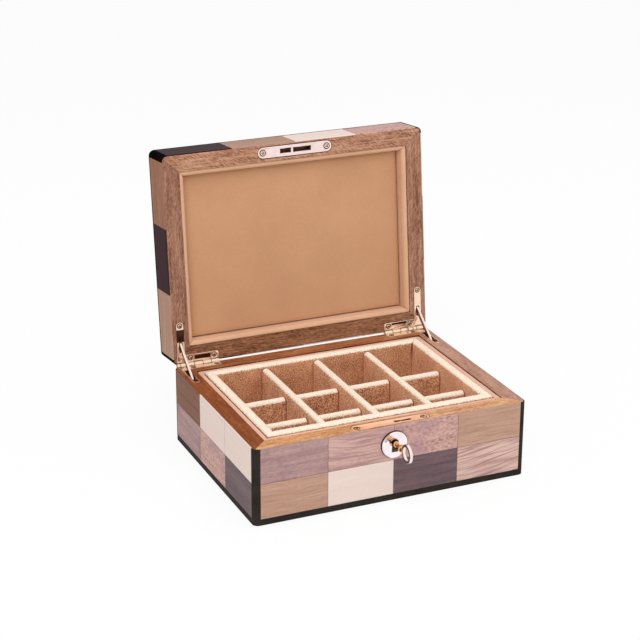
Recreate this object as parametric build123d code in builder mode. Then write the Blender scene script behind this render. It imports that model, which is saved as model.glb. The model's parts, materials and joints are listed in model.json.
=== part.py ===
from build123d import *
from math import cos, degrees, hypot, radians, sin
import os

# Cufflink box with a hinged lid: a lacquered block-marquetry case, mitred hardwood rims,
# a suede-lined insert of twelve cells, side-arm stop hinges and a hook lock with its key.
# Millimetres, +Z up, +Y to the back.  The origin is the centre of the underside.
# The lid is drawn shut and placed open: its heights are the ones it has when it is shut.

os.makedirs("parts", exist_ok=True)

# --- case -------------------------------------------------------------------------------
WIDTH = 220.0
DEPTH = 166.0
BASE_HEIGHT = 60.5
LID_HEIGHT = 29.7
SEAM = 0.3
VENEER = 0.8
CORNER_RADIUS = 4.5
CORNER_EDGE = 5.0
PLINTH_HEIGHT = 5.0
RIM_THICKNESS = 6.0
BASE_RIM_WIDTH = 13.5
LID_RIM_WIDTH = 14.0
MITRE_GAP = 0.06
EDGE_BEVEL = 0.4
BOTTOM_BOARD = 8.0
FELT = 0.6
FELT_INSET = 3.0
TOP_BOARD = 10.0
TOP_EDGING_WIDTH = 5.0
TOP_EDGING_HEIGHT = 2.3
TOP_EDGE_BEVEL = 0.5
BLOCK_JOINT = 0.08

# --- lining and insert ------------------------------------------------------------------
LINER_DROP = 0.6
BASE_LINER = 4.4
LID_LINER = 3.6
LINER_ROUND = 0.9
TRAY_GAP = 0.5
TRAY_WALL = 7.3
TRAY_PROUD = 1.0
TRAY_FLOOR = 4.0
TRAY_ROUND = 1.8
COLUMNS = 4
DIVIDER = 6.2
DIVIDER_ROUND = 2.0
LONG_DIVIDER_DROP = 2.3
CROSS_DIVIDER_DROP = 7.9
FRONT_ROW = 23.1
MIDDLE_ROW = 35.3
PAD_DEPTH = 9.0
PAD_THICKNESS = 4.0
PAD_GAP = 1.0
PAD_ROUND = 1.0

# --- hinges -----------------------------------------------------------------------------
LID_OPEN = 96.0
HINGE_OUT = 0.6
KNUCKLES = 5
BARREL_FROM_SIDE = 2.5
BARREL_LENGTH = 35.5
BARREL_RADIUS = 2.0
BARREL_CLEARANCE = 0.4
KNUCKLE_GAP = 0.3
PIN_RADIUS = 1.0
RUNNING_FIT = 0.05
LEAF_THICKNESS = 1.8
LEAF_INSET_GAP = 0.1
LEAF_CORNER_ROUND = 2.0
LEAF_TAPER = 12.0
BACK_ARM_DEPTH = 7.5
SIDE_ARM_FROM_SIDE = 7.0
SIDE_ARM_WIDTH = 6.0
SIDE_ARM_LENGTH = 34.4
BASE_SLOT_WIDTH = 3.2
BASE_SLOT_START = 9.3
BASE_SLOT_END = 31.7
LID_SLOT_WIDTH = 2.6
LID_SLOT_START = 9.9
STAY_PIVOT_BACK = 16.0
STAY_PIVOT_DEPTH = 1.4
STAY_THICKNESS = 1.9
STAY_WIDTH = 3.8
STAY_CLEARANCE = 0.3
RIVET_RADIUS = 0.8
RIVET_LENGTH = 5.4
FOOT_PIN_RADIUS = 0.9
FOOT_PIN_LENGTH = 5.2
CHEEK_HEIGHT = 2.8
CHEEK_WALL = 1.6
POCKET_CLEARANCE = 1.0
HINGE_SCREW_HEAD = 2.1
HINGE_SCREWS_FROM_SIDE = (34.0, 14.4)
HINGE_SCREWS_FROM_BACK = 4.6
LID_ARM_SCREW = 31.5

# --- lock and key -----------------------------------------------------------------------
PLATE_THICKNESS = 1.8
PLATE_LENGTH = 63.0
PLATE_WIDTH = 9.5
PLATE_FROM_FRONT = 6.7
PLATE_SCREW_X = 27.0
PLATE_SCREW_HEAD = 2.6
PLATE_INSET_GAP = 0.1
SELVEDGE_SLOT = (3.2, 16.6)
SELVEDGE_SLOT_WIDTH = 2.6
STRIKE_SLOTS = ((-12.4, -3.3), (-1.4, 13.6))
STRIKE_SLOT_WIDTH = 3.5
CASE_WIDTH = 36.0
CASE_HEIGHT = 22.7
CASE_DEPTH = 9.0
CASE_WALL = 1.2
KEY_DROP = 13.5
KEY_SHAFT = 1.9
KEY_CLEARANCE = 0.4
KEY_BIT_REACH = 5.6
KEY_BIT_WIDTH = 1.7
KEY_BIT_THICKNESS = 2.0
KEY_NOTCH = 0.5
KEY_NOTCH_DEPTH = 2.0
BOW_REACH = 21.5
BOW_RADIUS = 7.2
BOW_BAND = 2.2
BOW_THICKNESS = 2.6
BOW_SIDES = 8
COLLAR_REACH = 12.6
COLLAR_WIDTH = 2.2
COLLAR_RADIUS = 2.8
ESCUTCHEON_RADIUS = 10.75
ESCUTCHEON_DROP = 1.4
ESCUTCHEON_THICKNESS = 1.2
ESCUTCHEON_BEVEL = 0.4
KEYHOLE_RADIUS = 3.2
KEYHOLE_DROP = 7.0
KEYHOLE_FOOT = 5.0
KEYHOLE_NECK = 3.4
KEYWAY_RADIUS = 7.2
HOOK_PIVOT_X = -2.3
HOOK_PIVOT_DROP = 7.9
HOOK_INNER = 10.5
HOOK_OUTER = 13.5
HOOK_THICKNESS = 1.8
HOOK_BOSS = 3.0
HOOK_POST = 1.4
HOOK_SHOULDER = 2.4
HOOK_SIDE_GAP = 0.3
HOOK_TIP = 97.0
HOOK_TAIL = 16.0
HOOK_SWING = 63.0
HOOK_ARM_WIDTH = 4.0
HOOK_ROOM_GAP = 0.5

# --- screws -----------------------------------------------------------------------------
SCREW_HEAD_DEPTH = 1.5
SCREW_RIM = 0.2
SCREW_SHANK = 0.9
SCREW_LENGTH = 5.4
SCREW_FIT = 0.02
SCREW_SIDES = 12

# --- marquetry: the woods of each face, lowest row first, left to right from outside -----
BASE_WOODS = ("aubergine", "brown", "cream", "mauve", "rosy", "striped", "tan", "wavy")
LID_WOODS = ("aubergine", "brown", "cream", "rosy", "tan", "wavy")
BASE_BLOCKS = {
    "front": (("tan", "cream", "aubergine", "striped"), ("mauve", "wavy", "rosy", "tan")),
    "right": (("cream", "brown", "tan"), ("aubergine", "wavy", "striped")),
    "back": (("rosy", "mauve", "cream", "brown"), ("tan", "aubergine", "striped", "wavy")),
    "left": (("mauve", "rosy", "aubergine"), ("brown", "cream", "cream")),
}
LID_BLOCKS = {
    "front": (("aubergine", "tan", "cream", "rosy"),),
    "right": (("cream", "brown", "wavy"),),
    "back": (("rosy", "cream", "tan", "aubergine"),),
    "left": (("tan", "aubergine", "brown"),),
}
TOP_BLOCKS = (
    ("cream", "rosy", "tan", "wavy"),
    ("brown", "wavy", "cream", "aubergine"),
    ("tan", "aubergine", "rosy", "cream"),
)

# --- places that follow from the sizes --------------------------------------------------
SIDES = ("front", "right", "back", "left")
CORNERS = ((-1, -1), (1, -1), (1, 1), (-1, 1))
HALF_X, HALF_Y = WIDTH / 2, DEPTH / 2
CORE_X, CORE_Y = HALF_X - VENEER, HALF_Y - VENEER
CORE_RADIUS = CORNER_RADIUS - VENEER
BASE_INNER_X, BASE_INNER_Y = HALF_X - BASE_RIM_WIDTH, HALF_Y - BASE_RIM_WIDTH
LID_INNER_X, LID_INNER_Y = HALF_X - LID_RIM_WIDTH, HALF_Y - LID_RIM_WIDTH
PLINTH_TOP = FELT + PLINTH_HEIGHT
BASE_RIM_BOTTOM = BASE_HEIGHT - RIM_THICKNESS
INNER_FLOOR = FELT + BOTTOM_BOARD
LID_FACE = BASE_HEIGHT + SEAM
LID_TOP = LID_FACE + LID_HEIGHT
LID_RIM_TOP = LID_FACE + RIM_THICKNESS
TOP_BOARD_TOP = LID_TOP - VENEER
TOP_BOARD_BOTTOM = TOP_BOARD_TOP - TOP_BOARD
EDGING_BOTTOM = LID_TOP - TOP_EDGING_HEIGHT
TOP_X, TOP_Y = HALF_X - TOP_EDGING_WIDTH, HALF_Y - TOP_EDGING_WIDTH
TRAY_X = BASE_INNER_X - BASE_LINER - TRAY_GAP
TRAY_Y = BASE_INNER_Y - BASE_LINER - TRAY_GAP
CELLS_X, CELLS_Y = TRAY_X - TRAY_WALL, TRAY_Y - TRAY_WALL
TRAY_TOP = BASE_HEIGHT + TRAY_PROUD
TRAY_FLOOR_TOP = INNER_FLOOR + TRAY_FLOOR
COLUMN = (2 * CELLS_X - (COLUMNS - 1) * DIVIDER) / COLUMNS
FRONT_DIVIDER_Y = -CELLS_Y + FRONT_ROW + DIVIDER / 2
BACK_DIVIDER_Y = FRONT_DIVIDER_Y + DIVIDER + MIDDLE_ROW
PAD_X = LID_INNER_X - LID_LINER - PAD_GAP
PAD_Y = LID_INNER_Y - LID_LINER - PAD_GAP
PAD_FACE = LID_FACE + PAD_DEPTH
HINGE_Y = HALF_Y + HINGE_OUT
HINGE_Z = BASE_HEIGHT + SEAM / 2
BARREL_END = HALF_X - BARREL_FROM_SIDE
BARREL_START = BARREL_END - BARREL_LENGTH
KNUCKLE = BARREL_LENGTH / KNUCKLES
KNUCKLE_ROOM = BARREL_RADIUS + BARREL_CLEARANCE
LEAF_BOTTOM = BASE_HEIGHT - LEAF_THICKNESS
SIDE_ARM_X = HALF_X - SIDE_ARM_FROM_SIDE
STAY_PIVOT_Y = HALF_Y - STAY_PIVOT_BACK
STAY_PIVOT_Z = LID_FACE + STAY_PIVOT_DEPTH
STAY_HEAD = STAY_WIDTH / 2
LID_SLOT_END = STAY_PIVOT_BACK + STAY_HEAD + STAY_CLEARANCE
KEY_HEIGHT = BASE_HEIGHT - KEY_DROP
HOOK_PIVOT = (HOOK_PIVOT_X, BASE_HEIGHT - HOOK_PIVOT_DROP)
PLATE_Y = -HALF_Y + PLATE_FROM_FRONT
PLATE_BOTTOM = BASE_HEIGHT - PLATE_THICKNESS
CASE_FRONT = PLATE_Y - CASE_DEPTH / 2
CASE_BACK = PLATE_Y + CASE_DEPTH / 2
HOOK_FRONT = PLATE_Y - HOOK_THICKNESS / 2
HOOK_BACK = PLATE_Y + HOOK_THICKNESS / 2
BIT_FRONT = CASE_FRONT + CASE_WALL + KEY_CLEARANCE
KEY_TIP = BIT_FRONT + KEY_BIT_WIDTH


def opened(y, z):
    """Where a point of the shut lid, given by depth and height, is when the lid is open."""
    lean = radians(LID_OPEN)
    back, rise = y - HINGE_Y, z - HINGE_Z
    return HINGE_Y + back * cos(lean) + rise * sin(lean), HINGE_Z - back * sin(lean) + rise * cos(lean)


# The stay slides through one fixed point, where its pivot lies when the lid is shut.
STAY_TOP = opened(STAY_PIVOT_Y, STAY_PIVOT_Z)
FOOT_Z = LEAF_BOTTOM - FOOT_PIN_RADIUS - STAY_CLEARANCE
FOOT_SHARE = (FOOT_Z - STAY_TOP[1]) / (STAY_PIVOT_Z - STAY_TOP[1])
STAY_FOOT = (STAY_TOP[0] + FOOT_SHARE * (STAY_PIVOT_Y - STAY_TOP[0]), FOOT_Z)
STAY_MIDDLE = ((STAY_TOP[0] + STAY_FOOT[0]) / 2, (STAY_TOP[1] + STAY_FOOT[1]) / 2)
STAY_LENGTH = hypot(STAY_TOP[0] - STAY_FOOT[0], STAY_TOP[1] - STAY_FOOT[1])
POCKET_BOTTOM = STAY_PIVOT_Z - STAY_LENGTH - STAY_HEAD - POCKET_CLEARANCE


# --- planes -----------------------------------------------------------------------------
def base_level(height):
    """Level plane of the base at a height."""
    return Plane.XY.offset(height)


def base_section(x):
    """Upright plane across the base at x, drawn in depth and height."""
    return Plane(origin=(x, 0, 0), x_dir=(0, 1, 0), z_dir=(1, 0, 0))


def front_plane(y):
    """Upright plane at depth y, facing the front, drawn in width and height."""
    return Plane(origin=(0, y, 0), x_dir=(1, 0, 0), z_dir=(0, -1, 0))


def lid_level(height):
    """Plane along the open lid's rim, at a height of the shut lid."""
    lean = radians(LID_OPEN)
    return Plane(origin=(0, *opened(0, height)), x_dir=(1, 0, 0), z_dir=(0, sin(lean), cos(lean)))


def lid_section(x):
    """Plane across the open lid at x, drawn in depth and height of the shut lid."""
    lean = radians(LID_OPEN)
    return Plane(origin=(x, *opened(0, 0)), x_dir=(0, cos(lean), -sin(lean)), z_dir=(1, 0, 0))


def facing_down(plane):
    """The same plane seen from its other side, with depth counted the other way."""
    return Plane(origin=plane.origin, x_dir=plane.x_dir, z_dir=-plane.z_dir)


BASE_MOUTH = base_level(BASE_HEIGHT)
LID_MOUTH = facing_down(lid_level(LID_FACE))


# --- shared shapes ----------------------------------------------------------------------
def keep(piece, name):
    """Label a finished piece and write it."""
    piece.part.label = name
    export_step(piece.part, f"parts/{name}.step")


def keep_pair(piece, name):
    """Write a right-hand piece and the left-hand one that mirrors it."""
    keep(piece, f"{name}_right")
    with BuildPart() as other:
        mirror(piece.part, about=Plane.YZ)
    keep(other, f"{name}_left")


def frame_rail(half_x, half_y, width, side, corner=0.0):
    """Plan of one mitred rail of a rectangular frame."""
    turn = SIDES.index(side)
    (x0, y0), (x1, y1) = CORNERS[turn], CORNERS[(turn + 1) % len(CORNERS)]
    gap_x, gap_y = (x1 - x0) * MITRE_GAP / 4, (y1 - y0) * MITRE_GAP / 4
    inner_x, inner_y = half_x - width, half_y - width
    with BuildSketch() as rail:
        Polygon(
            (x0 * half_x + gap_x, y0 * half_y + gap_y),
            (x1 * half_x - gap_x, y1 * half_y - gap_y),
            (x1 * inner_x - gap_x, y1 * inner_y - gap_y),
            (x0 * inner_x + gap_x, y0 * inner_y + gap_y),
            align=None,
        )
        if corner:
            RectangleRounded(2 * half_x, 2 * half_y, corner, mode=Mode.INTERSECT)
    return rail.sketch


def soft_frame(plane, half_x, half_y, width, height, radius):
    """Four mitred fabric-covered strips on a plane, their long top edges rounded."""
    with BuildPart() as strips:
        for side in SIDES:
            with BuildSketch(plane):
                add(frame_rail(half_x, half_y, width, side))
            extrude(amount=height)
        up = Axis(plane.origin, plane.z_dir)
        edges = strips.faces().filter_by(up).sort_by(up)[-len(SIDES) :].edges()
        across, along = Axis(plane.origin, plane.x_dir), Axis(plane.origin, plane.y_dir)
        fillet(edges.filter_by(across) + edges.filter_by(along), radius)
    return strips


def screws(plane, spots, head, fit=0.0):
    """Countersunk screws flush with a plane, or with a fit the holes that they go in."""
    down = Axis(plane.origin, -plane.z_dir)
    with BuildPart() as group:
        with BuildSketch(plane):
            with Locations(*spots):
                RegularPolygon(head + fit, SCREW_SIDES, major_radius=False)
        extrude(amount=-SCREW_HEAD_DEPTH)
        for face in group.faces().filter_by(down).group_by(down)[-1]:
            chamfer(face.edges(), head - SCREW_SHANK, SCREW_HEAD_DEPTH - SCREW_RIM, reference=face)
        with BuildSketch(plane):
            with Locations(*spots):
                RegularPolygon(SCREW_SHANK + fit, SCREW_SIDES, major_radius=False)
        extrude(amount=-SCREW_LENGTH - fit)
    return group


def bar_across(section, start, end, y, z, radius, mode=Mode.ADD):
    """Round bar across the box from start to end, joined to the piece being made."""
    with BuildSketch(section(start)) as outline:
        with Locations((y, z)):
            Circle(radius)
    extrude(outline.sketch, amount=end - start, mode=mode)


def side_blocks(blocks, bottom, top, wood):
    """One wood's blocks on the four sides, each as bottom, height, and plan rectangle."""
    for turn, side in enumerate(SIDES):
        rows = blocks[side]
        half, face = (HALF_X, HALF_Y) if turn % 2 == 0 else (HALF_Y, HALF_X)
        out = face - VENEER / 2
        height = (top - bottom) / len(rows)
        for row, woods in enumerate(rows):
            length = 2 * (half - CORNER_EDGE) / len(woods)
            for column, name in enumerate(woods):
                if name == wood:
                    along = CORNER_EDGE - half + (column + 0.5) * length
                    spot = ((along, -out), (out, along), (-along, out), (-out, -along))[turn]
                    size = (length - BLOCK_JOINT, VENEER) if turn % 2 == 0 else (VENEER, length - BLOCK_JOINT)
                    yield bottom + row * height, height - BLOCK_JOINT, spot, size


def top_blocks(wood):
    """One wood's blocks on the lid's top, back row first, in the same form."""
    size_x, size_y = 2 * TOP_X / len(TOP_BLOCKS[0]), 2 * TOP_Y / len(TOP_BLOCKS)
    for row, woods in enumerate(TOP_BLOCKS):
        for column, name in enumerate(woods):
            if name == wood:
                spot = ((column + 0.5) * size_x - TOP_X, TOP_Y - (row + 0.5) * size_y)
                yield TOP_BOARD_TOP, VENEER, spot, (size_x - BLOCK_JOINT, size_y - BLOCK_JOINT)


def corner_outline():
    """Plan of the black edging bent round the four upright corners."""
    with BuildSketch() as outline:
        RectangleRounded(WIDTH, DEPTH, CORNER_RADIUS)
        RectangleRounded(2 * CORE_X, 2 * CORE_Y, CORE_RADIUS, mode=Mode.SUBTRACT)
        Rectangle(WIDTH - 2 * CORNER_EDGE, DEPTH, mode=Mode.SUBTRACT)
        Rectangle(WIDTH, DEPTH - 2 * CORNER_EDGE, mode=Mode.SUBTRACT)
    return outline.sketch


def mouth_bevel(mouth):
    """Small bevel to cut round the outer edge of a case's mouth."""
    with BuildPart() as bevel:
        with BuildSketch(mouth.offset(-EDGE_BEVEL)):
            RectangleRounded(WIDTH + VENEER, DEPTH + VENEER, CORNER_RADIUS + VENEER / 2)
        extrude(amount=EDGE_BEVEL)
        with BuildSketch(mouth.offset(-EDGE_BEVEL)):
            RectangleRounded(WIDTH, DEPTH, CORNER_RADIUS)
        extrude(amount=EDGE_BEVEL, taper=45, mode=Mode.SUBTRACT)
    return bevel


# --- what the hinges need cut out -------------------------------------------------------
def leaf_outline(grow=0.0):
    """Plan of the right hinge leaf: back arm, side arm with a round end, tapered corner."""
    arm_y = HALF_Y - BACK_ARM_DEPTH
    arm_in, arm_out = SIDE_ARM_X - SIDE_ARM_WIDTH / 2, SIDE_ARM_X + SIDE_ARM_WIDTH / 2
    end_y = HALF_Y - SIDE_ARM_LENGTH + SIDE_ARM_WIDTH / 2
    with BuildSketch() as leaf:
        Polygon(
            (BARREL_START, HALF_Y),
            (BARREL_START, arm_y),
            (arm_in, arm_y),
            (arm_in, end_y),
            (arm_out, end_y),
            (arm_out, HALF_Y - LEAF_TAPER),
            (BARREL_END, HALF_Y),
            align=None,
        )
        fillet(leaf.vertices().sort_by_distance((BARREL_START, arm_y))[0], LEAF_CORNER_ROUND)
        with Locations((SIDE_ARM_X, end_y)):
            Circle(SIDE_ARM_WIDTH / 2)
        RectangleRounded(WIDTH, DEPTH, CORNER_RADIUS, mode=Mode.INTERSECT)
        if grow:
            offset(amount=grow)
    return leaf.sketch


def cheek_outline(grow=0.0):
    """Plan of the thick part of the lid leaf that holds the stay's rivet."""
    back = HALF_Y - LID_SLOT_START + CHEEK_WALL + grow
    front = HALF_Y - LID_SLOT_END - CHEEK_WALL - grow
    with BuildSketch() as cheek:
        with Locations((SIDE_ARM_X, (back + front) / 2)):
            Rectangle(SIDE_ARM_WIDTH + 2 * grow, back - front)
    return cheek.sketch


with BuildPart() as base_hinge_room:
    with BuildSketch(base_level(LEAF_BOTTOM)):
        add(leaf_outline(LEAF_INSET_GAP))
    extrude(amount=LEAF_THICKNESS)
    with BuildSketch(base_level(POCKET_BOTTOM)):
        with Locations((SIDE_ARM_X, HALF_Y - (BASE_SLOT_START + BASE_SLOT_END) / 2)):
            Rectangle(SIDE_ARM_WIDTH, BASE_SLOT_END - BASE_SLOT_START)
    extrude(amount=LEAF_BOTTOM - POCKET_BOTTOM)
    bar_across(
        base_section, BARREL_START - KNUCKLE_GAP, BARREL_END + KNUCKLE_GAP, HINGE_Y, HINGE_Z, KNUCKLE_ROOM
    )
    mirror(about=Plane.YZ)

with BuildPart() as lid_hinge_room:
    with BuildSketch(lid_level(LID_FACE)):
        add(leaf_outline(LEAF_INSET_GAP))
    extrude(amount=LEAF_THICKNESS)
    with BuildSketch(lid_level(LID_FACE + LEAF_THICKNESS)):
        add(cheek_outline(LEAF_INSET_GAP))
    extrude(amount=CHEEK_HEIGHT + LEAF_INSET_GAP)
    bar_across(
        lid_section, BARREL_START - KNUCKLE_GAP, BARREL_END + KNUCKLE_GAP, HINGE_Y, HINGE_Z, KNUCKLE_ROOM
    )
    mirror(about=Plane.YZ)


# --- what the lock needs cut out --------------------------------------------------------
def plate_outline(grow=0.0):
    """Plan of a lock plate with round ends."""
    with BuildSketch() as plate:
        with Locations((0, PLATE_Y)):
            SlotOverall(PLATE_LENGTH + 2 * grow, PLATE_WIDTH + 2 * grow)
    return plate.sketch


def slot_outline(span, width):
    """Plan of a straight slot in a lock plate."""
    with BuildSketch() as slot:
        with Locations(((span[0] + span[1]) / 2, PLATE_Y)):
            Rectangle(span[1] - span[0], width)
    return slot.sketch


with BuildPart() as lock_room:
    with BuildSketch(base_level(PLATE_BOTTOM)):
        add(plate_outline(PLATE_INSET_GAP))
    extrude(amount=PLATE_THICKNESS)
    with BuildSketch(base_level(PLATE_BOTTOM)):
        with Locations((0, PLATE_Y)):
            Rectangle(CASE_WIDTH + 2 * PLATE_INSET_GAP, CASE_DEPTH + 2 * PLATE_INSET_GAP)
    extrude(amount=-CASE_HEIGHT - PLATE_INSET_GAP)
    with BuildSketch(front_plane(CASE_FRONT)):
        with Locations((0, KEY_HEIGHT)):
            Circle(KEYWAY_RADIUS)
    extrude(amount=CASE_FRONT + HALF_Y)

with BuildPart() as strike_room:
    with BuildSketch(lid_level(LID_FACE)):
        add(plate_outline(PLATE_INSET_GAP))
    extrude(amount=PLATE_THICKNESS)
    with BuildSketch(lid_level(LID_FACE)):
        add(slot_outline((STRIKE_SLOTS[0][0], STRIKE_SLOTS[1][1]), STRIKE_SLOT_WIDTH))
    extrude(amount=HOOK_PIVOT[1] + HOOK_OUTER + HOOK_ROOM_GAP - LID_FACE)

# --- screws and their holes -------------------------------------------------------------
PLATE_SPOTS = [(x, PLATE_Y) for x in (-PLATE_SCREW_X, PLATE_SCREW_X)]
HINGE_SPOTS = [
    (turn * (HALF_X - inward), HALF_Y - HINGE_SCREWS_FROM_BACK)
    for turn in (-1, 1)
    for inward in HINGE_SCREWS_FROM_SIDE
]
ARM_SPOTS = [(turn * SIDE_ARM_X, HALF_Y - LID_ARM_SCREW) for turn in (-1, 1)]
LID_PLATE_SPOTS = [(x, -y) for x, y in PLATE_SPOTS]
LID_HINGE_SPOTS = [(x, -y) for x, y in HINGE_SPOTS + ARM_SPOTS]

keep(screws(BASE_MOUTH, HINGE_SPOTS, HINGE_SCREW_HEAD), "base_hinge_screws")
keep(screws(BASE_MOUTH, PLATE_SPOTS, PLATE_SCREW_HEAD), "selvedge_screws")
keep(screws(LID_MOUTH, LID_HINGE_SPOTS, HINGE_SCREW_HEAD), "lid_hinge_screws")
keep(screws(LID_MOUTH, LID_PLATE_SPOTS, PLATE_SCREW_HEAD), "strike_screws")
base_hinge_holes = screws(BASE_MOUTH, HINGE_SPOTS, HINGE_SCREW_HEAD, SCREW_FIT)
selvedge_holes = screws(BASE_MOUTH, PLATE_SPOTS, PLATE_SCREW_HEAD, SCREW_FIT)
lid_hinge_holes = screws(LID_MOUTH, LID_HINGE_SPOTS, HINGE_SCREW_HEAD, SCREW_FIT)
strike_holes = screws(LID_MOUTH, LID_PLATE_SPOTS, PLATE_SCREW_HEAD, SCREW_FIT)

# --- base: felt, bottom, walls and rims -------------------------------------------------
with BuildPart() as base_felt:
    with BuildSketch(base_level(0)):
        RectangleRounded(WIDTH - 2 * FELT_INSET, DEPTH - 2 * FELT_INSET, CORNER_RADIUS)
    extrude(amount=FELT)
keep(base_felt, "base_felt")

with BuildPart() as base_bottom_board:
    with BuildSketch(base_level(FELT)):
        Rectangle(2 * BASE_INNER_X, 2 * BASE_INNER_Y)
    extrude(amount=BOTTOM_BOARD)
keep(base_bottom_board, "base_bottom_board")

for side in SIDES:
    with BuildPart() as base_wall:
        with BuildSketch(base_level(FELT)):
            add(frame_rail(CORE_X, CORE_Y, BASE_RIM_WIDTH - VENEER, side, CORE_RADIUS))
        extrude(amount=BASE_RIM_BOTTOM - FELT)
        add(base_hinge_room.part, mode=Mode.SUBTRACT)
        add(lock_room.part, mode=Mode.SUBTRACT)
    keep(base_wall, f"base_wall_{side}")

    with BuildPart() as base_rim:
        with BuildSketch(base_level(BASE_RIM_BOTTOM)):
            add(frame_rail(CORE_X, CORE_Y, BASE_RIM_WIDTH - VENEER, side, CORE_RADIUS))
        extrude(amount=RIM_THICKNESS)
        for cutter in (base_hinge_room, lock_room, base_hinge_holes, selvedge_holes):
            add(cutter.part, mode=Mode.SUBTRACT)
    keep(base_rim, f"base_rim_{side}")

# --- base: marquetry skin and black edging ----------------------------------------------
base_bevel = mouth_bevel(BASE_MOUTH)

with BuildPart() as base_plinth_strip:
    with BuildSketch(base_level(FELT)):
        RectangleRounded(WIDTH, DEPTH, CORNER_RADIUS)
        RectangleRounded(2 * CORE_X, 2 * CORE_Y, CORE_RADIUS, mode=Mode.SUBTRACT)
    extrude(amount=PLINTH_HEIGHT)
keep(base_plinth_strip, "base_plinth_strip")

with BuildPart() as base_corner_edges:
    with BuildSketch(base_level(PLINTH_TOP)):
        add(corner_outline())
    extrude(amount=BASE_HEIGHT - PLINTH_TOP)
    add(base_hinge_room.part, mode=Mode.SUBTRACT)
    add(base_bevel.part, mode=Mode.SUBTRACT)
keep(base_corner_edges, "base_corner_edges")

for wood in BASE_WOODS:
    with BuildPart() as base_veneer:
        for bottom, height, spot, size in side_blocks(BASE_BLOCKS, PLINTH_TOP, BASE_HEIGHT, wood):
            with BuildSketch(base_level(bottom)):
                with Locations(spot):
                    Rectangle(*size)
            extrude(amount=height)
        for cutter in (base_hinge_room, lock_room, base_bevel):
            add(cutter.part, mode=Mode.SUBTRACT)
    keep(base_veneer, f"base_veneer_{wood}")

# --- base: lining and insert ------------------------------------------------------------
LINER_HEIGHT = BASE_HEIGHT - LINER_DROP - INNER_FLOOR
base_liner = soft_frame(
    base_level(INNER_FLOOR), BASE_INNER_X, BASE_INNER_Y, BASE_LINER, LINER_HEIGHT, LINER_ROUND
)
keep(base_liner, "base_liner")

tray_walls = soft_frame(
    base_level(INNER_FLOOR), TRAY_X, TRAY_Y, TRAY_WALL, TRAY_TOP - INNER_FLOOR, TRAY_ROUND
)
keep(tray_walls, "tray_walls")

with BuildPart() as tray_floor:
    with BuildSketch(base_level(INNER_FLOOR)):
        Rectangle(2 * CELLS_X, 2 * CELLS_Y)
    extrude(amount=TRAY_FLOOR)
keep(tray_floor, "tray_floor")

with BuildPart() as tray_long_dividers:
    with BuildSketch(base_level(TRAY_FLOOR_TOP)):
        with GridLocations(COLUMN + DIVIDER, 0, COLUMNS - 1, 1):
            Rectangle(DIVIDER, 2 * CELLS_Y)
    extrude(amount=TRAY_TOP - LONG_DIVIDER_DROP - TRAY_FLOOR_TOP)
    fillet(tray_long_dividers.faces().group_by(Axis.Z)[-1].edges().filter_by(Axis.Y), DIVIDER_ROUND)
keep(tray_long_dividers, "tray_long_dividers")

with BuildPart() as tray_cross_dividers:
    with BuildSketch(base_level(TRAY_FLOOR_TOP)):
        for divider_y in (FRONT_DIVIDER_Y, BACK_DIVIDER_Y):
            with Locations((0, divider_y)):
                with GridLocations(COLUMN + DIVIDER, 0, COLUMNS, 1):
                    Rectangle(COLUMN, DIVIDER)
    extrude(amount=TRAY_TOP - CROSS_DIVIDER_DROP - TRAY_FLOOR_TOP)
    fillet(tray_cross_dividers.faces().group_by(Axis.Z)[-1].edges().filter_by(Axis.X), DIVIDER_ROUND)
keep(tray_cross_dividers, "tray_cross_dividers")

# --- lid: boards, walls and rims --------------------------------------------------------
LID_UP = Axis(lid_level(0).origin, lid_level(0).z_dir)

with BuildPart() as lid_walls:
    for side in SIDES:
        with BuildSketch(lid_level(LID_RIM_TOP)):
            add(frame_rail(CORE_X, CORE_Y, LID_RIM_WIDTH - VENEER, side, CORE_RADIUS))
        extrude(amount=TOP_BOARD_BOTTOM - LID_RIM_TOP)
keep(lid_walls, "lid_walls")

with BuildPart() as lid_top_board:
    with BuildSketch(lid_level(TOP_BOARD_BOTTOM)):
        RectangleRounded(2 * CORE_X, 2 * CORE_Y, CORE_RADIUS)
    extrude(amount=EDGING_BOTTOM - TOP_BOARD_BOTTOM)
    with BuildSketch(lid_level(EDGING_BOTTOM)):
        Rectangle(2 * TOP_X, 2 * TOP_Y)
    extrude(amount=TOP_BOARD_TOP - EDGING_BOTTOM)
keep(lid_top_board, "lid_top_board")

for side in SIDES:
    with BuildPart() as lid_rim:
        with BuildSketch(lid_level(LID_FACE)):
            add(frame_rail(CORE_X, CORE_Y, LID_RIM_WIDTH - VENEER, side, CORE_RADIUS))
        extrude(amount=RIM_THICKNESS)
        for cutter in (lid_hinge_room, strike_room, lid_hinge_holes, strike_holes):
            add(cutter.part, mode=Mode.SUBTRACT)
    keep(lid_rim, f"lid_rim_{side}")

# --- lid: marquetry skin and black edging -----------------------------------------------
lid_bevel = mouth_bevel(LID_MOUTH)

with BuildPart() as lid_top_edging:
    with BuildSketch(lid_level(EDGING_BOTTOM)):
        RectangleRounded(WIDTH, DEPTH, CORNER_RADIUS)
        Rectangle(2 * TOP_X, 2 * TOP_Y, mode=Mode.SUBTRACT)
    extrude(amount=TOP_EDGING_HEIGHT)
    chamfer(lid_top_edging.faces().sort_by(LID_UP)[-1].outer_wire().edges(), TOP_EDGE_BEVEL)
keep(lid_top_edging, "lid_top_edging")

with BuildPart() as lid_corner_edges:
    with BuildSketch(lid_level(LID_FACE)):
        add(corner_outline())
    extrude(amount=EDGING_BOTTOM - LID_FACE)
    add(lid_hinge_room.part, mode=Mode.SUBTRACT)
    add(lid_bevel.part, mode=Mode.SUBTRACT)
keep(lid_corner_edges, "lid_corner_edges")

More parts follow.
